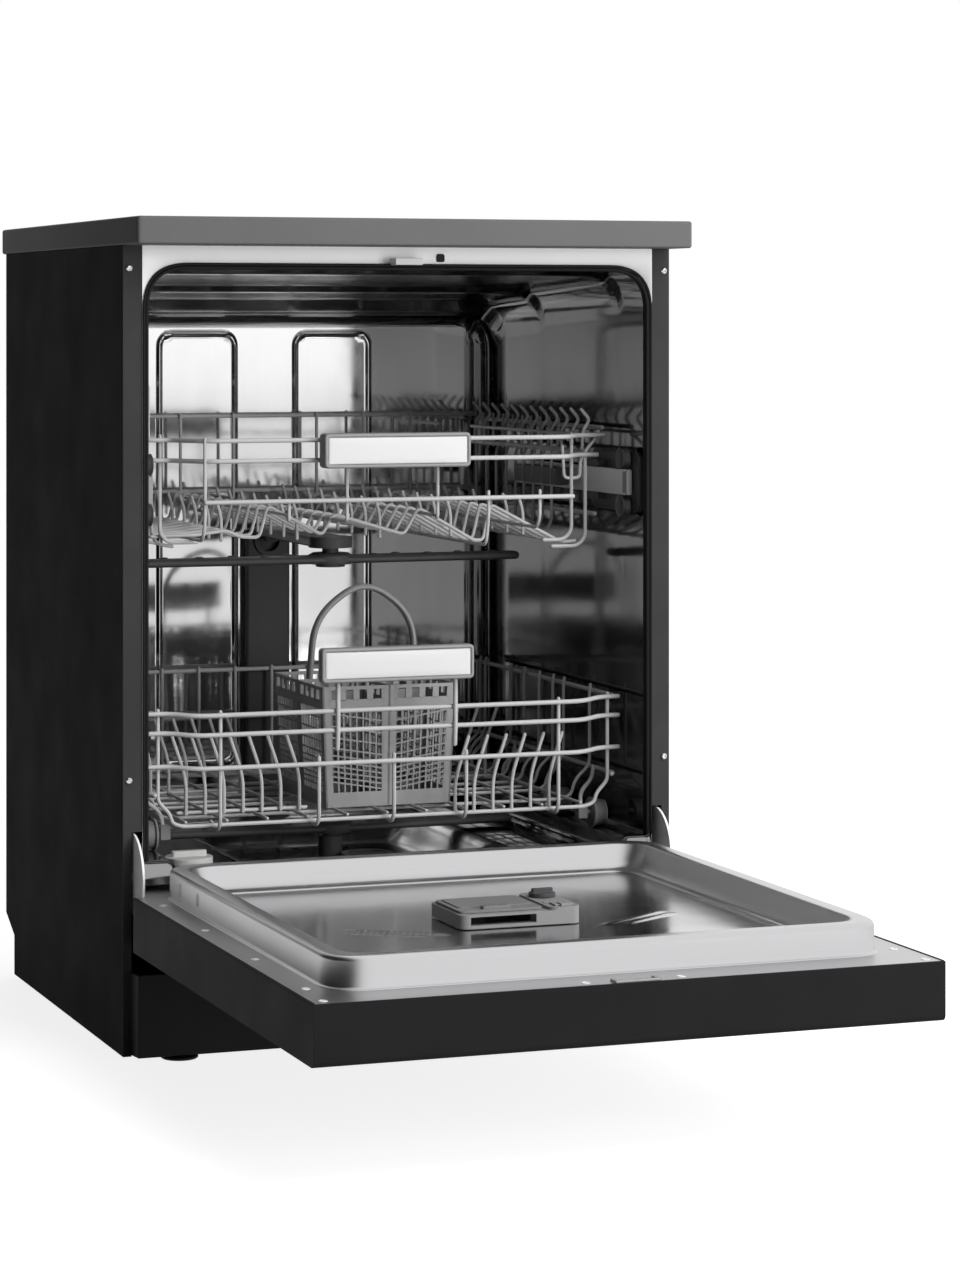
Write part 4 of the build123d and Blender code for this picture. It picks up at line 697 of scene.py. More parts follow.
@dataclass(frozen=True)
class Tub:
    """Stainless tub with its seal, switch, striker, filters, duct and lower spray arm."""

    side: float = 274.5
    top: float = 796.5
    track: float = 197.7
    track_x: float = 246.0
    floor: float = 178.0
    front_y: float = -240.0
    back_y: float = 250.0
    spray_y: float = 4.0
    rear_corner: float = 18.0
    under_top: float = 817.0
    flange_x: float = 278.0

    def outline(self, inset: float = 0.0, drop: float = 0.0) -> Array:
        """Half-open section of the tub from the left of the sink, over the roof, to its right.

        Args:
            inset: how far the outline is drawn in on every side.
            drop: how far the roof is lowered.

        Returns:
            Points of the section in X and Z.
        """
        side, roof, track = self.side - inset, self.top - drop - inset, self.track + inset
        foot = self.floor + inset
        half = np.array([(150.0, foot), (self.track_x - 8 - inset, foot), (self.track_x - inset, track),
                         (side, track), (side, roof)])
        return self.both_sides(half * (-1, 1), [0.0, 7.0, 4.0, 5.0, max(46.0 - inset, 8.0)])

    def both_sides(self, half: Array, radii: Sequence[float]) -> Array:
        """A rounded line from its left half, given from the middle outwards, and the same on the right."""
        line = np.vstack([half, half[::-1] * (-1, 1)])
        return bend_corners(line, np.array([*radii, *radii[::-1]]), 9)

    def drop(self, y: float) -> float:
        """How far the roof has stepped down at a depth: straight runs between the pressed steps."""
        return float(np.interp(y, [-172, -158, 58, 74, 190, 226, 250], [0, 7, 16, 24, 30, 46, 46]))

    def build(self) -> None:
        """Build every piece of the tub."""
        self.wrap()
        self.flange()
        self.rear_wall()
        self.floor_pan()
        self.seal()
        # The filter plate takes the tub's darkened steel, which is painted shade.
        dress(("striker", WHITE, 0.8), ("door_switch", BLACK, 0.5), ("feed_duct", DARK_GREY, 1.5),
              ("sump", DARK_GREY, 0.6), ("filter_plate", PAINTED_SHADE_STEEL, 0.3), ("filter_cup", DARK_GREY, 0.6),
              ("salt_cap", WHITE, 1.0))

    def wrap(self) -> None:
        """Walls and roof in one sheet, with a rolled lip in front and a quarter-round at the rear, split into
        walls and roof that take two darkened copies of the steel as painted shade.
        """
        places = [(-3.0, 0.0, -240.0), (-0.9, 0.0, -239.1), (0.0, 0.0, -237.0)]
        for run in ((-230, -176, 8), (-172, -158, 8), (-140, 50, 12), (56, 76, 8), (90, 180, 8), (188, 231, 12)):
            places += [(0.0, self.drop(y), y) for y in np.linspace(*run)]
        for turn in np.radians([20, 40, 60, 80, 90]):
            y = self.back_y - self.rear_corner * (1 - math.sin(turn))
            places.append((self.rear_corner * (1 - math.cos(turn)), self.drop(y), y))
        rows = [np.insert(self.outline(inset, drop), 1, y, axis=1) for inset, drop, y in places]
        wrap = skin(np.array(rows), closed=False)
        # The roof's faces are split off so that they take their own darker steel, painted shade.
        middles = wrap.points[wrap.faces[0]].mean(axis=1)
        roof = (np.abs(middles[:, 0]) < self.side - 20) & (middles[:, 2] > self.floor + 200)
        # The walls take the darkest copy of the steel, painted shade.
        piece("tub_walls", wrap.chosen(~roof), PAINTED_SHADE_STEEL, "tub", sheet=1.2)
        piece("tub_roof", wrap.chosen(roof), ROOF_PAINTED_SHADE_STEEL, "tub", sheet=1.2)

    def flange(self) -> None:
        """Front flange: a frame between the opening and the strips, lightened to near white above the sill as
        painted light and darkened along the sill as painted shade.
        """
        corners = np.array([(-150.0, 174.0), (-238.0, 174.0), (-246.0, 174.0), (-self.flange_x, 174.0),
                            (-self.flange_x, self.under_top)])
        outer = self.both_sides(corners, [0.0, 1.0, 1.0, 1.0, 1.0])
        rings = [np.insert(line, 1, y, axis=1) for line, y in ((outer, -239.7), (outer, -240.3),
                                                               (self.outline(-2.6), -240.3))]
        edge = skin(np.array(rings), closed=False)
        # The flange is split by height: the low sill takes darker steel as painted shade, and the rest takes
        # near-white steel as painted light.
        low = edge.points[edge.faces[0]].mean(axis=1)[:, 2] < self.track + 8
        piece("tub_front_flange", edge.chosen(~low), LIP_PAINTED_LIGHT, "tub", sheet=0.4)
        piece("tub_front_sill", edge.chosen(low), ROOF_PAINTED_SHADE_STEEL, "tub", sheet=0.4)

    def rear_wall(self) -> None:
        """Rear wall: y = back - 3 h, where h is a soft ridge along two rounded frames."""
        ridges = [(c - 6, c + 6, 13) for c in (-126.5, -36.5, 36.5, 126.5)]
        x, z = np.meshgrid(lines((-259, 259, 40), *ridges, (-110, -50, 8), (50, 110, 8)),
                           lines((190, 738, 60), (222, 246, 13), (714, 732, 13)))
        ring = np.abs(rectangle_distance(np.abs(x) - 81.5, z - 478, 45, 248, 14))
        y = self.back_y - 0.4 - 3.0 * (1 - smooth_step(ring / 4.0))
        # The near-white steel of the rear wall is painted reflection.
        piece("tub_rear_wall", field(x, y, z), REAR_WALL_PAINTED_REFLECTION, "tub", sheet=-1.0)

    def floor_pan(self) -> None:
        """Floor: z = floor - 28 s(d / 50), where d is how far inside the sink's outline the point is."""
        x, y = np.meshgrid(lines((-153, 153, 62)), lines((self.front_y, self.back_y, 90)))
        inside = -rectangle_distance(x, y - self.spray_y, 148, 148, 38)
        z = self.floor - 27.5 * smooth_step(inside / 50.0)
        piece("tub_floor", field(x, y, z), DISH_STEEL, "tub", sheet=-1.0)

    def seal(self) -> None:
        """Gasket: four soft lips carried round the opening on nested lines."""
        lips = []
        for inset, y, radius in ((-1.9, -241.2, 1.4), (1.4, -239.4, 1.9), (1.8, -235.0, 1.8), (1.4, -231.5, 1.5)):
            side, roof, foot = self.side - inset, self.top - inset, self.track + 2
            corners = np.array([(-side, y, foot), (-side, y, roof), (side, y, roof), (side, y, foot)])
            lips.append(tube(bend_corners(corners, np.full(4, 44.0 - inset), 14), radius, 10))
        piece("tub_gasket", join(lips), RUBBER, "tub_seal")


def spray_arm(name: str, reach: float, level: float, centre_y: float, joint_x: float) -> None:
    """A spray arm: a flattened oval section whose width narrows from the hub to the tips.

    The half width at x is 13 + 9 s(1 - |x| / reach), drawn in to nothing over the last millimetres, and
    each section is an oval of that width and the arm's height.

    Args:
        name: node that it stands for.
        reach: length of a blade.
        level: height of its underside.
        centre_y: place of the pivot.
        joint_x: where the moulded joint line runs.
    """
    turn = np.linspace(0, math.pi / 2, 6)
    blade = np.linspace(-reach + 8, reach - 8, 60)
    x = np.concatenate([-reach - 6 * np.cos(turn), blade, reach + 6 * np.sin(turn)])
    ends = np.sqrt(np.clip(1 - np.clip((np.abs(x) - reach) / 6.02, 0, 1) ** 2, 0.003, 1))
    half_w = (13 + 9 * smooth_step(1 - np.abs(x) / reach)) * ends
    crest = 4.6 * ends + 0.8 * (np.abs(x - joint_x) < 4)
    angle = np.linspace(0, 2 * np.pi, 24, endpoint=False)
    wide = np.sign(np.cos(angle)) * np.abs(np.cos(angle)) ** 0.6
    tall = np.sign(np.sin(angle)) * np.abs(np.sin(angle)) ** 0.75
    rings = np.stack([np.repeat(x[:, None], 24, axis=1), half_w[:, None] * wide,
                      crest[:, None] * tall + 4.7], axis=-1)
    hub = lathe([(9.1, -0.3), (23.5, -0.3), (25, 1.5), (25, 9.0), (20, 11.9), (12, 12.2), (9.1, 12.0)], (0, 0, 0),
                steps=40)
    nozzle = lathe([(5.2, 8.0), (5.0, 10.4), (3.6, 11.2), (1.4, 10.6), (0.01, 10.4)], (0, 0, 0), steps=16)
    shares = [side * share * reach for side in (-1, 1) for share in (0.22, 0.36, 0.52, 0.7, 0.88)]
    offsets = [6.0, -5.0, 4.0, -3.0, 2.0, -6.0, 5.0, -4.0, 3.0, -2.0]
    arm = join([skin(rings), hub, copies(nozzle, x=shares, y=offsets, z=[-0.6])])
    piece(name + "_moulding", arm.moved(0, centre_y, level), DARK_GREY, name, sharp=50.0)


# Door


@dataclass(frozen=True)
class Door:
    """The open door: outer panel, fascia with its controls, pressed lining and dispenser."""

    flange_z: float = 168.0
    end_y: float = -861.0
    half_x: float = 297.0
    neck_y: float = -276.0
    foot_x: float = 283.5
    foot_y: float = -168.0
    rim_x: float = 264.0
    rim_head_y: float = -812.0
    rim_foot_y: float = -261.0
    rim_h: float = 29.0
    latch_y: float = -850.0
    dispenser_y: float = -532.5
    dispenser_top: float = 187.0

    def build(self) -> None:
        """Build every piece of the door."""
        dress(("door_panel", DOOR_PAINT, 0.8), ("control_panel", DOOR_PAINT, 1.2), ("display_window", GLOSS, 0.4))
        dress(*((name + "_button", DARK_GREY, 0.5) for name in ("power", "program", "start")))
        self.plate()
        self.fixings()
        self.rim()
        self.dish()
        self.dispenser()
        # The hinge arms share the lip's near-white steel, which is painted light.
        dress(("door_latch", ZINC, 0.4), ("hinge_arms", LIP_PAINTED_LIGHT, 0.5))

    def plate(self) -> None:
        """Flat flange of the lining, left open at the lock's mouth, and the outer panel's edges."""
        mouth, mouth_low, mouth_high = 19.0, self.latch_y - 7, self.latch_y + 7
        wide, narrow, front, z = self.half_x - 0.5, self.foot_x - 0.5, self.end_y + 2.8, self.flange_z
        half = np.array([(-wide, mouth_high), (-wide, self.neck_y), (-narrow, self.neck_y),
                         (-narrow, self.foot_y)])
        parts = [prism(np.vstack([half, half[::-1] * (-1, 1)]), z - 1.2, z)]
        parts += [block((x0, front, z - 1.2), (x1, high, z)) for x0, x1, high in
                  ((-wide, -mouth, mouth_high), (mouth, wide, mouth_high), (-mouth, mouth, mouth_low))]
        piece("lining_flange", join(parts), FLANGE_STEEL, "door_liner")
        edge = block((self.half_x - 2.6, front, z - 1), (self.half_x, self.neck_y, z + 0.5))
        piece("door_panel_edges", edge.paired(), DOOR_PAINT, "door_panel", bevel=0.3)

    def fixings(self) -> None:
        """Small dimples of the flange's fixings, turned from a profile, and pressed clips in the rim's sides."""
        dimple = lathe([(4.2, 0.02), (3.6, 0.5), (2.9, 0.1), (1.6, -0.3), (0.02, -0.3)], (0, 0, self.flange_z),
                       steps=20)
        places = [(side * 281.0, y) for side in (-1, 1) for y in (-330.0, -480.0, -640.0, -790.0)]
        places += [(x, self.end_y + 14) for x in (-284.0, -45.0, 45.0, 284.0)]
        piece("flange_dimples", join([dimple.moved(x, y) for x, y in places]), BRIGHT_RAIL, "door_liner")
        rim, z = -self.rim_x, self.flange_z
        clip = join([prism(rounded_rectangle(5.0, 12.0, 2.4, (0, z + 14.0)), rim - 0.8, rim + 0.6, Axis.X),
                     block((rim - 1.4, -1.2, z + 11), (rim, 1.2, z + 17))])
        piece("rim_clips", copies(clip, y=(-330.0, -392.0)).paired(), BRIGHT_RAIL, "door_liner", bevel=0.4)

    def rim(self) -> None:
        """Raised rim round the dish: nested rounded rectangles at the heights of the pressing."""
        foot, top, dish = self.flange_z, self.flange_z + self.rim_h, self.flange_z + 3.0
        turn = np.radians([0, 25, 50, 75, 90])
        levels = [(-4.0, foot + 0.05, 44.0), (-1.5, foot + 0.6, 42.0), (0.0, foot + 2.5, 40.0)]
        levels += [(5 * (1 - math.cos(a)), top - 5 + 5 * math.sin(a), 40.0) for a in turn]
        levels += [(10.0, top + 0.1, 36.0), (15.0, top, 32.0)]
        levels += [(15 + 4 * math.sin(a), top - 3 * (1 - math.cos(a)), 30.0) for a in turn[1:4]]
        levels += [(26.0, dish + 10, 26.0), (30.0, dish + 3.5, 24.0), (34.0, dish + 1.0, 24.0), (40.0, dish, 26.0)]
        middle = (0.0, (self.rim_head_y + self.rim_foot_y) / 2)
        rings = nested(2 * self.rim_x, self.rim_foot_y - self.rim_head_y, middle, Axis.Z, levels, 12)
        piece("lining_pressing", skin(rings, capped=False), LINER_STEEL, "door_liner", sheet=-1.0, sharp=60.0)

    def dish(self) -> None:
        """Dished middle, open under the dispenser and beyond the rim's foot.

        Its height is z = dish - s(d / 9) (1 + grooves), where the grooves are four diagonal drains, each
        (1 - u^2)^2 across its width.
        """
        half_x, y0, y1 = self.rim_x - 34, self.rim_head_y + 34, self.rim_foot_y - 34
        x, y = np.meshgrid(np.linspace(-half_x, half_x, 150), np.linspace(y0, y1, 150))
        inside = -rectangle_distance(x, y - (y0 + y1) / 2, half_x, (y1 - y0) / 2, 24.0)
        z = self.flange_z + 3.0 + 0.9 - 1.9 * smooth_step(inside / 9.0)
        for sign in (-1, 1):
            for start, reach in ((70.0, 96.0), (96.0, 74.0)):
                along = (sign * x - start) / reach
                across = (y - self.dispenser_y + 64 - 0.62 * (sign * x - start)) / 4.0
                groove = (1 - np.clip(np.abs(across), 0, 1) ** 2) ** 2
                z = z + 1.7 * groove * smooth_step(along * 6) * smooth_step((1 - along) * 6)
        cut = np.zeros((149, 149), bool)
        for gone in (rectangle_distance(x, y - self.dispenser_y, 59.0, 42.0, 6.0) < 0, inside < -0.5):
            cut |= gone[:-1, :-1] & gone[1:, :-1] & gone[:-1, 1:] & gone[1:, 1:]
        piece("lining_dish", field(x, y, z).chosen(~cut.ravel()), DISH_STEEL, "door_liner", sheet=-1.0)

    def dispenser(self) -> None:
        """Dispenser body, layered sliding lid with its catch, and rinse cap."""
        dress(("dispenser_body", LIGHT_GREY, 1.2))
        y, z = self.dispenser_y, self.dispenser_top
        lid = [prism(rounded_rectangle(84, 72, 6, (-16.5, y + 1)), z - 2.7, z - 0.4),
               prism(rounded_rectangle(74, 50, 4, (-16.5, y + 8)), z - 0.5, z + 0.6),
               prism(rounded_rectangle(28, 8, 2, (-20, y - 27)), z - 0.5, z + 2.5)]
        tooth = block((-0.7, y - 30.2, z + 2.3), (0.7, y - 23.8, z + 2.9))
        lid.append(copies(tooth, x=np.linspace(-30, -10, 6)))
        piece("dispenser_lid_layers", join(lid), MID_GREY, "dispenser_lid", bevel=0.7)
        catch = [block((36, y - 39, z), (54, y - 24, z + 1.6)), block((41, y - 42, z), (49, y - 30, z + 2.6)),
                 block((32, y - 20, z), (58, y - 16, z + 1.0))]
        piece("dispenser_catch", join(catch), LIGHT_GREY, "dispenser_body", bevel=0.5)
        dress(("rinse_cap", DARK_GREY, 0.8))


# Racks


def run_y(x: float, z: float, start: float, end: float, radius: float = STRONG) -> Shape:
    """A straight wire from front to rear."""
    return wire([(x, start, z), (x, end, z)], radius)


def both(half: Sequence[Point]) -> list[Point]:
    """A path from left to right from its right half, given from the outer end inwards."""
    return [(-x, y, z) for x, y, z in half] + list(half[::-1])


@dataclass(frozen=True)
class LowerRack:
    """Lower basket of coated wire, its wheels, tines and cutlery basket."""

    half_x: float = 257.0
    sill_x: float = 232.0
    front_y: float = -192.5
    bulge_y: float = -208.0
    rear_y: float = 226.0
    top_z: float = 340.0
    side_z: float = 257.0
    floor_z: float = 223.5
    wheel_ys: tuple[float, ...] = (182.0, 79.0, -52.0, -155.0)
    disc_x: float = 241.4
    face_x: float = 257.5
    axle_z: float = 212.0
    hoop_ys: tuple[float, ...] = (213.0, 196.0, 113.0, 71.0, 24.0, -18.0, -50.0, -126.0)
    tine_y: float = -171.0

    def build(self) -> None:
        """Build every piece of the lower rack."""
        self.basket()
        self.tines()
        self.wheels()
        self.cutlery()

    def basket(self) -> None:
        """Hoops across the floor and up both sides, long wires, front and rear walls, and hangers."""
        sill, foot, top = self.sill_x, self.floor_z, self.top_z
        side, front, bulge, rear = self.half_x - 3.6, self.front_y, self.bulge_y, self.rear_y
        hoop = wire(both([(side + 1.2, 0, top + 6), (side, 0, top - 1), (side, 0, self.side_z + 2),
                          (sill + 4, 0, foot + 20), (sill, 0, foot + 4), (sill - 12, 0, foot)]), bend=8.0)
        parts = [copies(hoop, y=self.hoop_ys)]
        rail = [(self.half_x - 5, front + 1, 0), (self.half_x, front + 9, 0), (self.half_x, rear - 8, 0),
                (self.half_x - 6, rear, 0)]
        parts.append(copies(wire(rail, STRONG, 6.0), z=(top, self.side_z)).paired())
        parts.append(run_y(sill - 14, foot + 3.7, front + 6, rear - 8, FINE).paired())
        bowed = wire(both([(259, front, 0), (238, front, 0), (212, bulge, -2)]), STRONG, 12.0)
        parts.append(copies(bowed, z=(top, top - 20, top - 54)))
        parts.append(copies(wire([(-256, rear, 0), (256, rear, 0)], STRONG), z=(top, top - 54)))
        corner = [(248, top + 3), (248, foot + 27), (235, foot + 13), (233, foot + 4), (222, foot)]
        parts.append(wire(both([(x, front + 3.6, z) for x, z in corner]), UPRIGHT, 5.0))
        hook = [(0, 4, foot + 5), (0, 11, foot - 4), (0, 24, foot - 4), (0, 38, foot + 1)]
        for x, high in ((-186, top + 1), (186, top + 1), (-80, top - 50), (2, top - 50), (82, top - 50)):
            parts.append(wire([(0, 4, high)] + hook, UPRIGHT, 8.0).moved(x, bulge))
        grip_post = wire([(0, -4, 368), (0, -4, top - 20), (0, -2, top - 41)], STRONG, 10.0)
        parts.append(copies(grip_post, x=(-62, 67), y=[bulge]))
        long = [(0, front + 6, foot + 3.7), (0, rear - 14, foot + 3.7), (0, rear - 4, foot + 10),
                (0, rear - 4, top + 3)]
        parts.append(copies(wire(long, bend=8.0), x=np.linspace(-174, 174, 9)))
        arm = wire([(side, 18, self.side_z + 1), (side - 4, 14, foot + 22), (sill + 2, 8, foot + 10),
                    (sill, 2, self.axle_z + 4), (sill, 0, self.axle_z)], 2.3, 8.0)
        axle = wire([(sill - 3, 0, self.axle_z), (self.face_x, 0, self.axle_z)], 2.95, sides=12)
        parts.append(copies(join([arm, axle]), y=self.wheel_ys).paired())
        piece("lower_basket_wires", join(parts), WIRE, "lower_basket")
        clip = block((sill - 5.5, -6, self.axle_z - 6), (sill + 5.5, 6, self.axle_z + 9))
        piece("lower_basket_clips", copies(clip, y=self.wheel_ys).paired(), MID_GREY, "lower_basket", bevel=1.2)

    def tines(self) -> None:
        """Plate tines that stand, then lean aside, in rows; one row folds on its own rod."""
        base, floor = self.floor_z + 11.5, self.floor_z + 3.7
        pin = wire([(0, 0, base - 1), (0, 0, base + 35), (-15, 0, base + 79)], 2.0, 14.0)
        rod = wire([(-222, self.tine_y, base), (-84, self.tine_y, base)])
        row = copies(pin, x=np.linspace(-214, -92, 7), y=[self.tine_y - 3.2])
        piece("folding_tine_row", join([rod, row]), WIRE, "tine_row")
        other = pin.mirrored()
        fixed = [copies(other, x=np.linspace(75, 181, 6), y=[self.front_y + 3.6], z=[-11])]
        for tine, x0, x1, count, y in ((pin, -214, -92, 7, 40.0), (other, 108, 202, 5, 60.0)):
            fixed.append(copies(tine, x=np.linspace(x0, x1, count), y=[y], z=[-8]))
            fixed.append(wire([(x0 - 6, y, floor), (x1 + 6, y, floor)]))
        piece("lower_basket_tines", join(fixed), WIRE, "lower_basket")

    def wheels(self) -> None:
        """Wheels: a guide disc inboard, a waisted tread, a sunk face with twelve spokes, a hub, and a black well
        lining the sunk face as painted shade.
        """
        disc, face = self.disc_x, self.face_x
        tread = [(3.1, disc), (15.4, disc), (16.4, disc + 0.7), (16.4, disc + 2.4), (15.6, disc + 3.1),
                 (14.2, disc + 3.4), (13.9, disc + 7), (13.5, face - 1.0), (13.1, face - 0.4), (11.6, face - 0.4),
                 (11.4, face - 1.2), (11.2, face - 11.0), (5.0, face - 11.0), (4.6, face - 0.4), (3.1, face - 0.4)]
        rim = [(13.3, -1.2), (13.2, -0.2), (12.6, 0), (11.5, 0), (11.2, -0.4), (11.2, -1.2), (13.3, -1.2)]
        hub = [(4.9, -1.2), (4.7, -0.1), (4.2, 0), (3.1, 0), (3.1, -1.0)]
        # Painted shade: a black liner inside the sunk face stands in for the shade of the recess.
        painted_shade_well = [(11.15, -1.3), (11.15, -6), (5.05, -6), (5.05, -5), (10.8, -5), (10.8, -1.3), (11.15, -1.3)]
        # The spokes take the near-white grey, which is painted light.
        spoke = block((face - 1.0, -0.75, 4.4), (face - 0.1, 0.75, 11.5))
        spokes = [spoke.turned([(1, 0, 0), (0, cos, sin), (0, -sin, cos)]) for cos, sin in
                  ((math.cos(turn), math.sin(turn)) for turn in np.arange(12) * math.pi / 6)]
        ribs = [lathe(rim, (face, 0, 0), Axis.X, 40, capped=False), lathe(hub, (face, 0, 0), Axis.X, 24)]
        for number, y in enumerate(self.wheel_ys, 1):
            name = f"lower_wheels_{number}"
            for suffix, shape, finish in (("_turned", lathe(tread, (0, 0, 0), Axis.X, 40), MID_GREY),
                                          ("_ribs", join(ribs + spokes), SPOKE_PAINTED_LIGHT),
                                          ("_well", lathe(painted_shade_well, (face, 0, 0), Axis.X, 40, capped=False), BLACK)):
                piece(name + suffix, shape.moved(0, y, self.axle_z).paired(), finish, name)

    def panel(self, length: float, slope: float = 0.0) -> Shape:
        """One pierced panel of the cutlery basket, standing along X from the origin.

        From the foot up: a plain band, a lattice of fine bars, a plain band with four small windows
        left open between short posts, and a top rim.

        Args:
            length: length of the panel.
            slope: rise of the cross bars along it.

        Returns:
            Its bars, all between -1.5 and 1.5 in Y and 0 and 127 in Z.
        """
        bars = [block((0, -1.1, 0), (length, 1.1, 15)), block((0, -1.1, 103), (length, 1.1, 113)),
                block((0, -1.5, 123.5), (length, 1.5, 127))]
        bars += [block((x - 0.9, -0.9, 14), (x + 0.9, 0.9, 104)) for x in np.linspace(0.9, length - 0.9, 9)]
        for z in (22, 27.5, 33, 38.5, 44, 50, 58, 69, 81, 94):
            bar = block((0, -0.8, z - 0.8), (length, 0.8, z + 0.8))
            bars.append(Shape(bar.points + (bar.points[:, :1] - length / 2) * (0, 0, slope), bar.faces))
        posts = [(length / 4 * i - 3.4, length / 4 * i + 3.4) for i in range(1, 4)]
        bars += [block((x0, -1.1, 112), (x1, 1.1, 124)) for x0, x1 in posts + [(0, 2.4), (length - 2.4, length)]]
        return join(bars)

    def cutlery(self) -> None:
        """Cutlery basket: pierced panels between broad posts, leaning out to the top, and a bowed handle."""
        half_x, half_y, high, wall = 74.0, 85.0, 127.0, 1.1
        xs, ys = (-half_x, 0.0, half_x), (-half_y, 0.0, half_y)
        deep = self.panel(half_y - 13).turned([(0, 1, 0), (-1, 0, 0), (0, 0, 1)])
        walls = [copies(self.panel(half_x - 13, slope), x=[x], y=ys)
                 for x, slope in ((6.5 - half_x, -0.16), (6.5, 0.16))]
        walls += [copies(deep, x=xs, y=[y]) for y in (6.5 - half_y, 6.5)]
        for x, y in ((x, y) for x in xs for y in ys):
            x0, x1 = max(x - 6.8, -half_x - wall), min(x + 6.8, half_x + wall)
            y0, y1 = max(y - 6.8, -half_y - wall), min(y + 6.8, half_y + wall)
            thin_y = (y - wall, y + wall) if y else (y0 + 5.6, y1 - 5.6)
            thin_x = (x - wall, x + wall) if x else (x0 + 5.6, x1 - 5.6)
            walls.append(block((x0, thin_y[0], 0.0), (x1, thin_y[1], high)))
            walls.append(block((thin_x[0], y0, 0.0), (thin_x[1], y1, high)))
        walls.append(copies(block((-1.0, -half_y, -0.6), (1.0, half_y, 1.4)), x=np.linspace(-half_x, half_x, 17)))
        walls.append(copies(block((-half_x, -1.0, -0.6), (half_x, 1.0, 1.4)), y=np.linspace(-half_y, half_y, 19)))
        basket = join(walls)
        lean = 1.0 - np.array([6.0 / 75, 4.0 / 86]) * ((high - basket.points[:, 2]) / high)[:, None]
        place = (17.0, -60.0, self.floor_z + 5.5)
        leaning = Shape(np.column_stack([basket.points[:, :2] * lean, basket.points[:, 2]]), basket.faces)
        piece("cutlery_basket_walls", leaning.moved(*place), BASKET_GREY, "cutlery_basket")
        line = np.array([(-60, 4, -10), (-56, 0, 66), (0, 0, 108), (56, 0, 66), (60, 4, -10)]) + (0, 0, high)
        bow = tube(bend_corners(line, np.array([0, 30, 60, 30, 0.0]), 10), 3.4, 14)
        piece("cutlery_basket_handle", Shape(bow.points * (1, 1.7, 1), bow.faces).moved(*place), BASKET_GREY,
              "cutlery_basket")


@dataclass(frozen=True)
class UpperRack:
    """Upper basket of coated wire with its cup row, feed pipe and shoes."""

    front_y: float = -155.0
    bulge_y: float = -200.0
    rear_y: float = 222.0
    hoop_ys: tuple[float, ...] = (206.0, 172.0, 140.0, 108.0, 78.0, 52.0, 23.0, -5.0, -33.0, -85.0, -135.0)
    wave: tuple[Pair, ...] = ((-243, 518), (-194, 519), (-163, 523), (-148, 516), (-127, 515), (-118, 548),
                              (-58, 516), (-46, 538), (33, 515), (49, 543), (112, 507), (122, 507), (131, 545),
                              (212, 503), (228, 504))

    def build(self) -> None:
        """Build every piece of the upper rack."""
        self.basket()
        self.cups()
        dress(("upper_feed_pipe", DARK_GREY, 1.2))

    def across(self, line: Sequence[Pair], y: float = 0.0, radius: float = FINE, bend: float = 7.0) -> Shape:
        """A wire in the plane of one depth."""
        return wire([(x, y, z) for x, z in line], radius, bend)

    def basket(self) -> None:
        """Waved floor wires, jogged side hoops, long wires and the bowed front."""
        front, bulge, rear = self.front_y, self.bulge_y, self.rear_y
        right = [(254.5, 632), (254.5, 606), (246, 593), (246, 520), (240, 508), (222, 505)]
        left = [(-254.5, 674), (-254.5, 606), (-240.5, 588), (-240.5, 522), (-235, 510), (-218, 507)]
        parts = [copies(self.across(self.wave, bend=6.0), y=np.linspace(-146, 206, 12)),
                 copies(self.across(right), y=self.hoop_ys[:-2]),
                 copies(self.across(left, bend=9.0), y=self.hoop_ys)]
        rails = ((-257, 666, -178), (-257, 626, -174), (257, 626, -153), (-243.3, 540, -153), (248.5, 533, -153))
        parts += [run_y(x, z, start, rear - 2) for x, z, start in rails]
        parts.append(self.across([(-254.5, 673), (-254.5, 622)], -175))
        for z, end in ((618, 258.0), (597, 250.0)):
            parts.append(wire([(-end, front + 4, z + 1), (-240, front, z), (-226, front, z), (-198, bulge, z),
                               (198, bulge, z), (226, front, z), (end, front, z)], STRONG, 14.0))
        parts.append(self.across([(-200, 555), (204, 555)], bulge, STRONG))
        for x, high in ((-200, 620), (-110, 556), (-47, 620), (53, 620), (110, 561), (168, 561)):
            low = float(np.interp(x, *np.array(self.wave).T)) - 3.6
            line = [(bulge + 4, high), (bulge + 4, 534), (bulge + 12, low), (front + 40, low), (rear - 10, low),
                    (rear - 4, 524), (rear - 4, 634)]
            parts.append(wire([(x, y, z) for y, z in line], bend=9.0))
        for x, high, foot, reach in ((222, 619, 506, 190), (238, 596, 499, 200), (-235.5, 622, 512, -196)):
            line = [(x, high), (x, foot + 9), (x - math.copysign(9, x), foot), (reach, foot)]
            parts.append(self.across(line, front + 4, UPRIGHT, 9.0))
        loop = [(212, 606), (214, 572), (232, 572), (233, 592), (243, 606), (250, 613), (254, 622)]
        parts.append(self.across(loop, front + 5, bend=5.0))
        parts += [self.across([(-250, z), (250, z)], rear, STRONG) for z in (632, 546)]
        tine = self.across([(0, 512), (0, 536), (-5, 552)], bend=10.0)
        parts += [copies(tine, x=[x], y=np.linspace(-128, 202, 8)) for x in (-163, -80, 12, 92, 175)]
        piece("upper_basket_wires", join(parts), WIRE, "upper_basket")
        shoes = block((244.5, -50, 559.5), (260.4, 80, 578.5)).paired()
        piece("upper_basket_shoes", shoes, DARK_GREY, "upper_basket", bevel=1.4)

    def cups(self) -> None:
        """Folding cup row: hooked tines on two rods."""
        x = 239.5
        hook = self.across([(x - 1, 598), (x - 1, 622), (x + 8, 634), (x - 2, 645)], bend=6.0)
        parts = [run_y(x, 600, -148, 200), run_y(x - 3.4, 618, -146, 196, FINE),
                 copies(hook, y=np.linspace(-142, 190, 12))]
        piece("folding_cup_row", join(parts), WIRE, "cup_shelf")


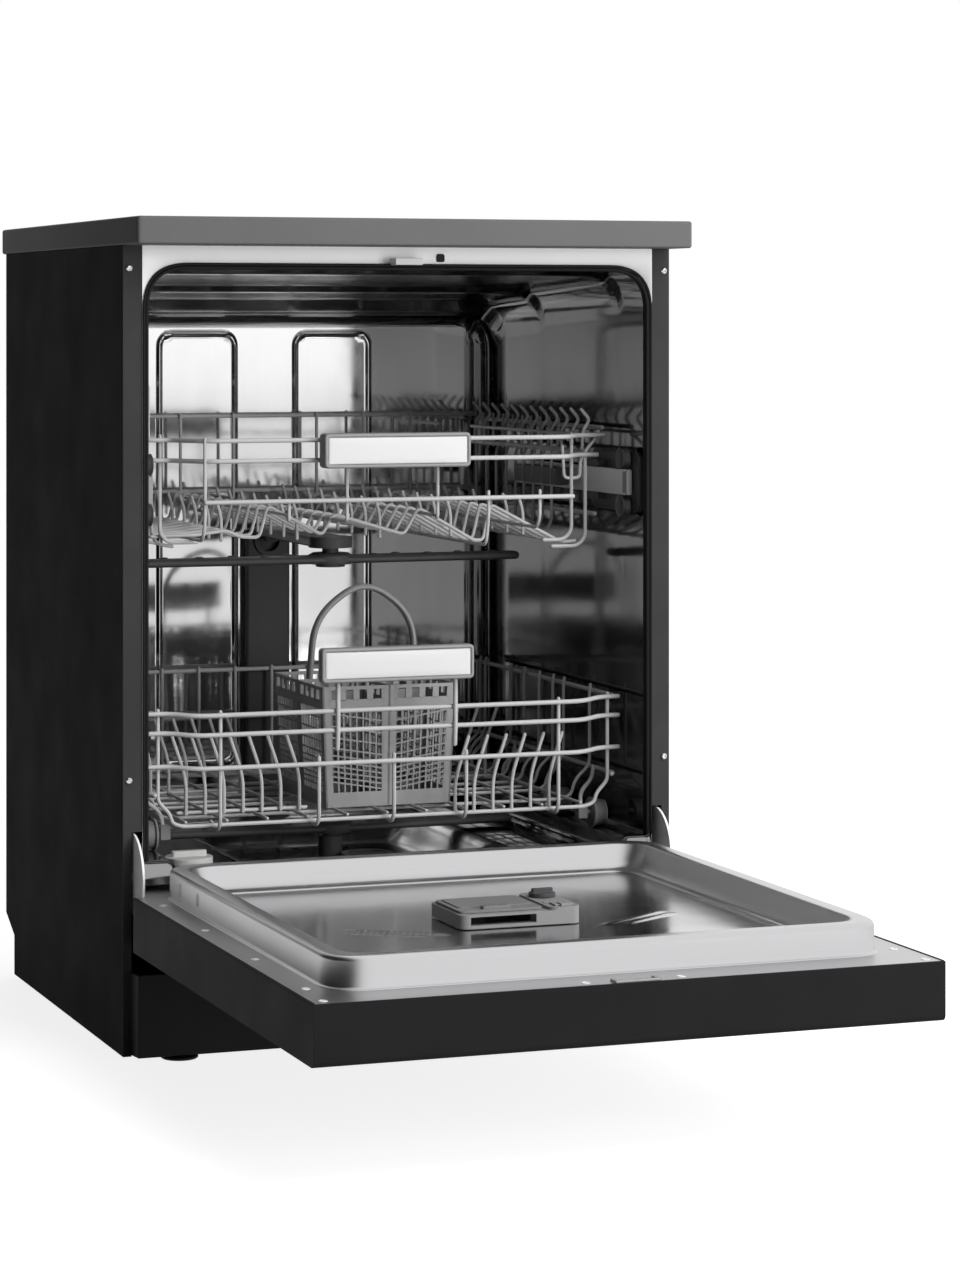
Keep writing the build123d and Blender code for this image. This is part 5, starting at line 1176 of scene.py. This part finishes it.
def grip(node: str, half_x: float, z_low: float, z_high: float, face_y: float, depth: float) -> None:
    """A rack's grip: a rounded frame round a pale insert that is slightly crowned.

    The insert's face is y = face + 1.4 - 1.0 (1 - u^4)(1 - v^4) for u and v from -1 to 1 across it.

    Args:
        node: solid of the frame; the insert's solid has the same name and a suffix.
        half_x: half its length.
        z_low: its lower edge.
        z_high: its upper edge.
        face_y: its front.
        depth: its depth.
    """
    height, mid = z_high - z_low, (z_low + z_high) / 2
    levels = [(4.0, depth, 3.0), (0.75, depth, 4.0), (0.0, depth - 2, 5.0), (0.0, 3.0, 5.0), (0.5, 0.9, 5.0),
              (1.3, 0.0, 4.6), (3.1, 0.0, 3.4), (3.7, 0.8, 3.0), (3.8, 3.4, 3.0), (15.0, 3.6, 1.0)]
    rings = skin(nested(2 * half_x, height, (0, mid), Axis.Y, levels, 8))
    piece(node + "_frame", rings.moved(0, face_y), LIGHT_GREY, node, sharp=60.0)
    u, v = np.meshgrid(np.linspace(-1, 1, 60), np.linspace(-1, 1, 24))
    y = face_y + 1.4 - 1.0 * (1 - u ** 4) * (1 - v ** 4)
    insert = field(u * (half_x - 4.2), y, mid + v * (height / 2 - 4.2))
    piece(node + "_pale_insert", insert, PALE, node + "_insert", sheet=-1.5)


@dataclass(frozen=True)
class Rails:
    """Channel rails of the upper rack with their rollers and wall brackets."""

    rail_x: float = 264.0
    rail_z: float = 569.0
    half_h: float = 13.5
    front_y: float = -212.0
    rear_y: float = 120.0
    roller_r: float = 11.7
    roller_y: float = -198.0

    def build(self) -> None:
        """Build the rails, rollers and brackets."""
        inner, outer, front = self.rail_x - 3.2, self.rail_x + 3.3, self.front_y
        low, high = self.rail_z - self.half_h, self.rail_z + self.half_h
        lip, sheet = outer - 1.2, 1.2
        channel = np.array([(inner, low), (outer, low), (outer, low + 4), (lip, low + 4), (lip, low + sheet),
                            (inner + sheet, low + sheet), (inner + sheet, high - sheet), (lip, high - sheet),
                            (lip, high - 4), (outer, high - 4), (outer, high), (inner, high)])
        rail = prism(channel, front + 3, self.rear_y, Axis.Y)
        bed = block((inner + 1.1, front + 14, low + sheet), (inner + 2.0, self.rear_y, high - sheet))
        stop = block((inner + 1, front + 11, low + 0.5), (inner + 9, front + 19, high - 0.5))
        end = rounded_rectangle(6.5, 2 * self.half_h, 2.5, (self.rail_x, self.rail_z))
        cap = prism(end, front, front + 12, Axis.Y)
        for name, shape, finish, bevel in (("s", rail, BRIGHT_RAIL, 0.5), ("_beds", bed, DARK_GREY, 0.0),
                                           ("_stops", stop, BRIGHT_RAIL, 0.8), ("_caps", cap, LIGHT_GREY, 1.0)):
            piece("rack_rail" + name, shape.paired(), finish, "upper_rails", bevel)
        profile = [(2.6, -6.8), (10.4, -6.8), (11.6, -6.0), (10.3, -3.4), (9.9, -1.8), (10.3, 0.0), (11.6, 2.4),
                   (10.6, 2.9), (6.4, 2.9), (6.2, 1.8), (4.4, 1.8), (4.2, 2.9), (2.6, 2.9)]
        for name, sign in (("rollers_above", 1), ("rollers_below", -1)):
            z = self.rail_z + sign * (self.half_h + self.roller_r + 0.3)
            roller = lathe(profile, (self.rail_x + 0.3, self.roller_y, z), Axis.X, 36)
            piece(name + "_turned", roller.paired(), DARK_GREY, name)
        dress(("roller_brackets", DARK_GREY, 0.6))


# Studio


@dataclass(frozen=True)
class Lamp:
    """A square area lamp, in metres and watts, that mirrors don't show."""

    name: str
    place: Point
    aim: Point
    size: float
    power: float

    def build(self) -> None:
        """Hang the lamp at its place, turned to its aim."""
        light = bpy.data.lights.new(self.name, "AREA")
        light.shape, light.size, light.energy = "SQUARE", self.size, self.power
        holder = bpy.data.objects.new(self.name, light)
        holder.location = self.place
        look = Vector(self.aim) - Vector(self.place)
        holder.rotation_euler = look.to_track_quat("-Z", "Y").to_euler()
        holder.visible_glossy = False
        bpy.context.scene.collection.objects.link(holder)


@dataclass(frozen=True)
class Studio:
    """Pale floor, soft lamps, a white surround and the camera at the photograph's angle."""

    floor_half: float = 30.0
    floor_grey: float = 0.48
    floor_glow: float = 0.84
    lamps: tuple[Lamp, ...] = (Lamp("lamp_top", (0.9, -2.0, 2.5), (0.1, -0.2, 0.4), 1.8, 50.0),
                               Lamp("lamp_front", (1.6, -3.0, 0.85), (0.0, -0.3, 0.5), 1.4, 62.0))

    def build(self) -> None:
        """Build the studio."""
        bpy.context.scene.view_settings.view_transform = "Standard"
        self.floor()
        self.surround()
        for lamp in self.lamps:
            lamp.build()
        self.camera()

    def floor(self) -> None:
        """A floor that keeps shadows and glows for the camera, and a little less in mirrors."""
        floor = bpy.data.objects.new("studio_floor", bpy.data.meshes.new("studio_floor"))
        half = self.floor_half
        floor.data.from_pydata([(-half, -half, 0), (half, -half, 0), (half, half, 0), (-half, half, 0)], [],
                               [(0, 1, 2, 3)])
        bpy.context.scene.collection.objects.link(floor)
        pale = bpy.data.materials.new("studio_floor_pale")
        pale.use_nodes = True
        nodes = Nodes(pale.node_tree)
        rays = nodes.add("LightPath").outputs
        mirrored = nodes.maths("MULTIPLY", rays["Is Glossy Ray"], 0.6)
        seen = nodes.maths("ADD", rays["Is Camera Ray"], mirrored, clamp=True)
        for key, value in {"Base Color": (self.floor_grey, self.floor_grey, self.floor_grey, 1), "Roughness": 0.9,
                           "Specular IOR Level": 0.0, "Emission Color": (1, 1, 1, 1),
                           "Emission Strength": nodes.scaled(seen, 0.0, self.floor_glow)}.items():
            nodes.put(pale.node_tree.nodes["Principled BSDF"], key, value)
        floor.data.materials.append(pale)

    def surround(self) -> None:
        """A surround that is white to the camera and to mirrors on the right, and lights softly from there."""
        world = bpy.data.worlds.new("studio_surround")
        world.use_nodes = True
        bpy.context.scene.world = world
        nodes = Nodes(world.node_tree)
        rays = nodes.add("LightPath").outputs
        clear = nodes.maths("ADD", rays["Is Camera Ray"], rays["Is Transmission Ray"])
        side = nodes.add("SeparateXYZ", Vector=nodes.add("TexCoord").outputs["Generated"]).outputs[0]
        open_side = nodes.scaled(side, 0.0, 1.0, -0.55, 0.05, soft=True)
        mirror = nodes.maths("MULTIPLY", rays["Is Glossy Ray"], open_side)
        white = nodes.maths("ADD", clear, mirror, clamp=True)
        soft = nodes.scaled(nodes.scaled(side, 0.0, 1.0, -0.20, 0.30, soft=True), 0.02, 0.85)
        strength = nodes.add("Mix", {"data_type": "FLOAT"}, Factor=white, _2=soft, _3=1.0).outputs[0]
        sky = world.node_tree.nodes["Background"]
        nodes.put(sky, "Color", (1, 1, 1, 1))
        nodes.put(sky, "Strength", strength)

    def camera(self) -> None:
        """The camera that was fitted to the photograph."""
        camera = bpy.data.objects.new("photo_camera", bpy.data.cameras.new("photo_camera"))
        camera.location = (-1.2046, -3.6891, 0.7418)
        camera.rotation_euler = (math.radians(90.0), 0.0, math.radians(-20.13))
        camera.data.lens = 99.65
        camera.data.sensor_width = 36.0
        camera.data.shift_x, camera.data.shift_y = 0.01715, -0.2499
        bpy.context.scene.collection.objects.link(camera)
        bpy.context.scene.camera = camera


def main() -> None:
    """Build the studio, then the machine."""
    logging.basicConfig(level=logging.INFO, format="%(message)s")
    Studio().build()
    Casing().build()
    Tub().build()
    spray_arm("lower_spray_arm", 205.0, 182.5, 4.0, 400.0)
    spray_arm("upper_spray_arm", 214.0, 475.3, 4.0, 180.0)
    Door().build()
    LowerRack().build()
    grip("lower_handle", 83.7, 368.0, 404.0, -225.0, 14.0)
    UpperRack().build()
    grip("upper_handle", 80.3, 589.0, 625.0, -224.5, 20.0)
    Rails().build()


if __name__ == "__main__":
    main()
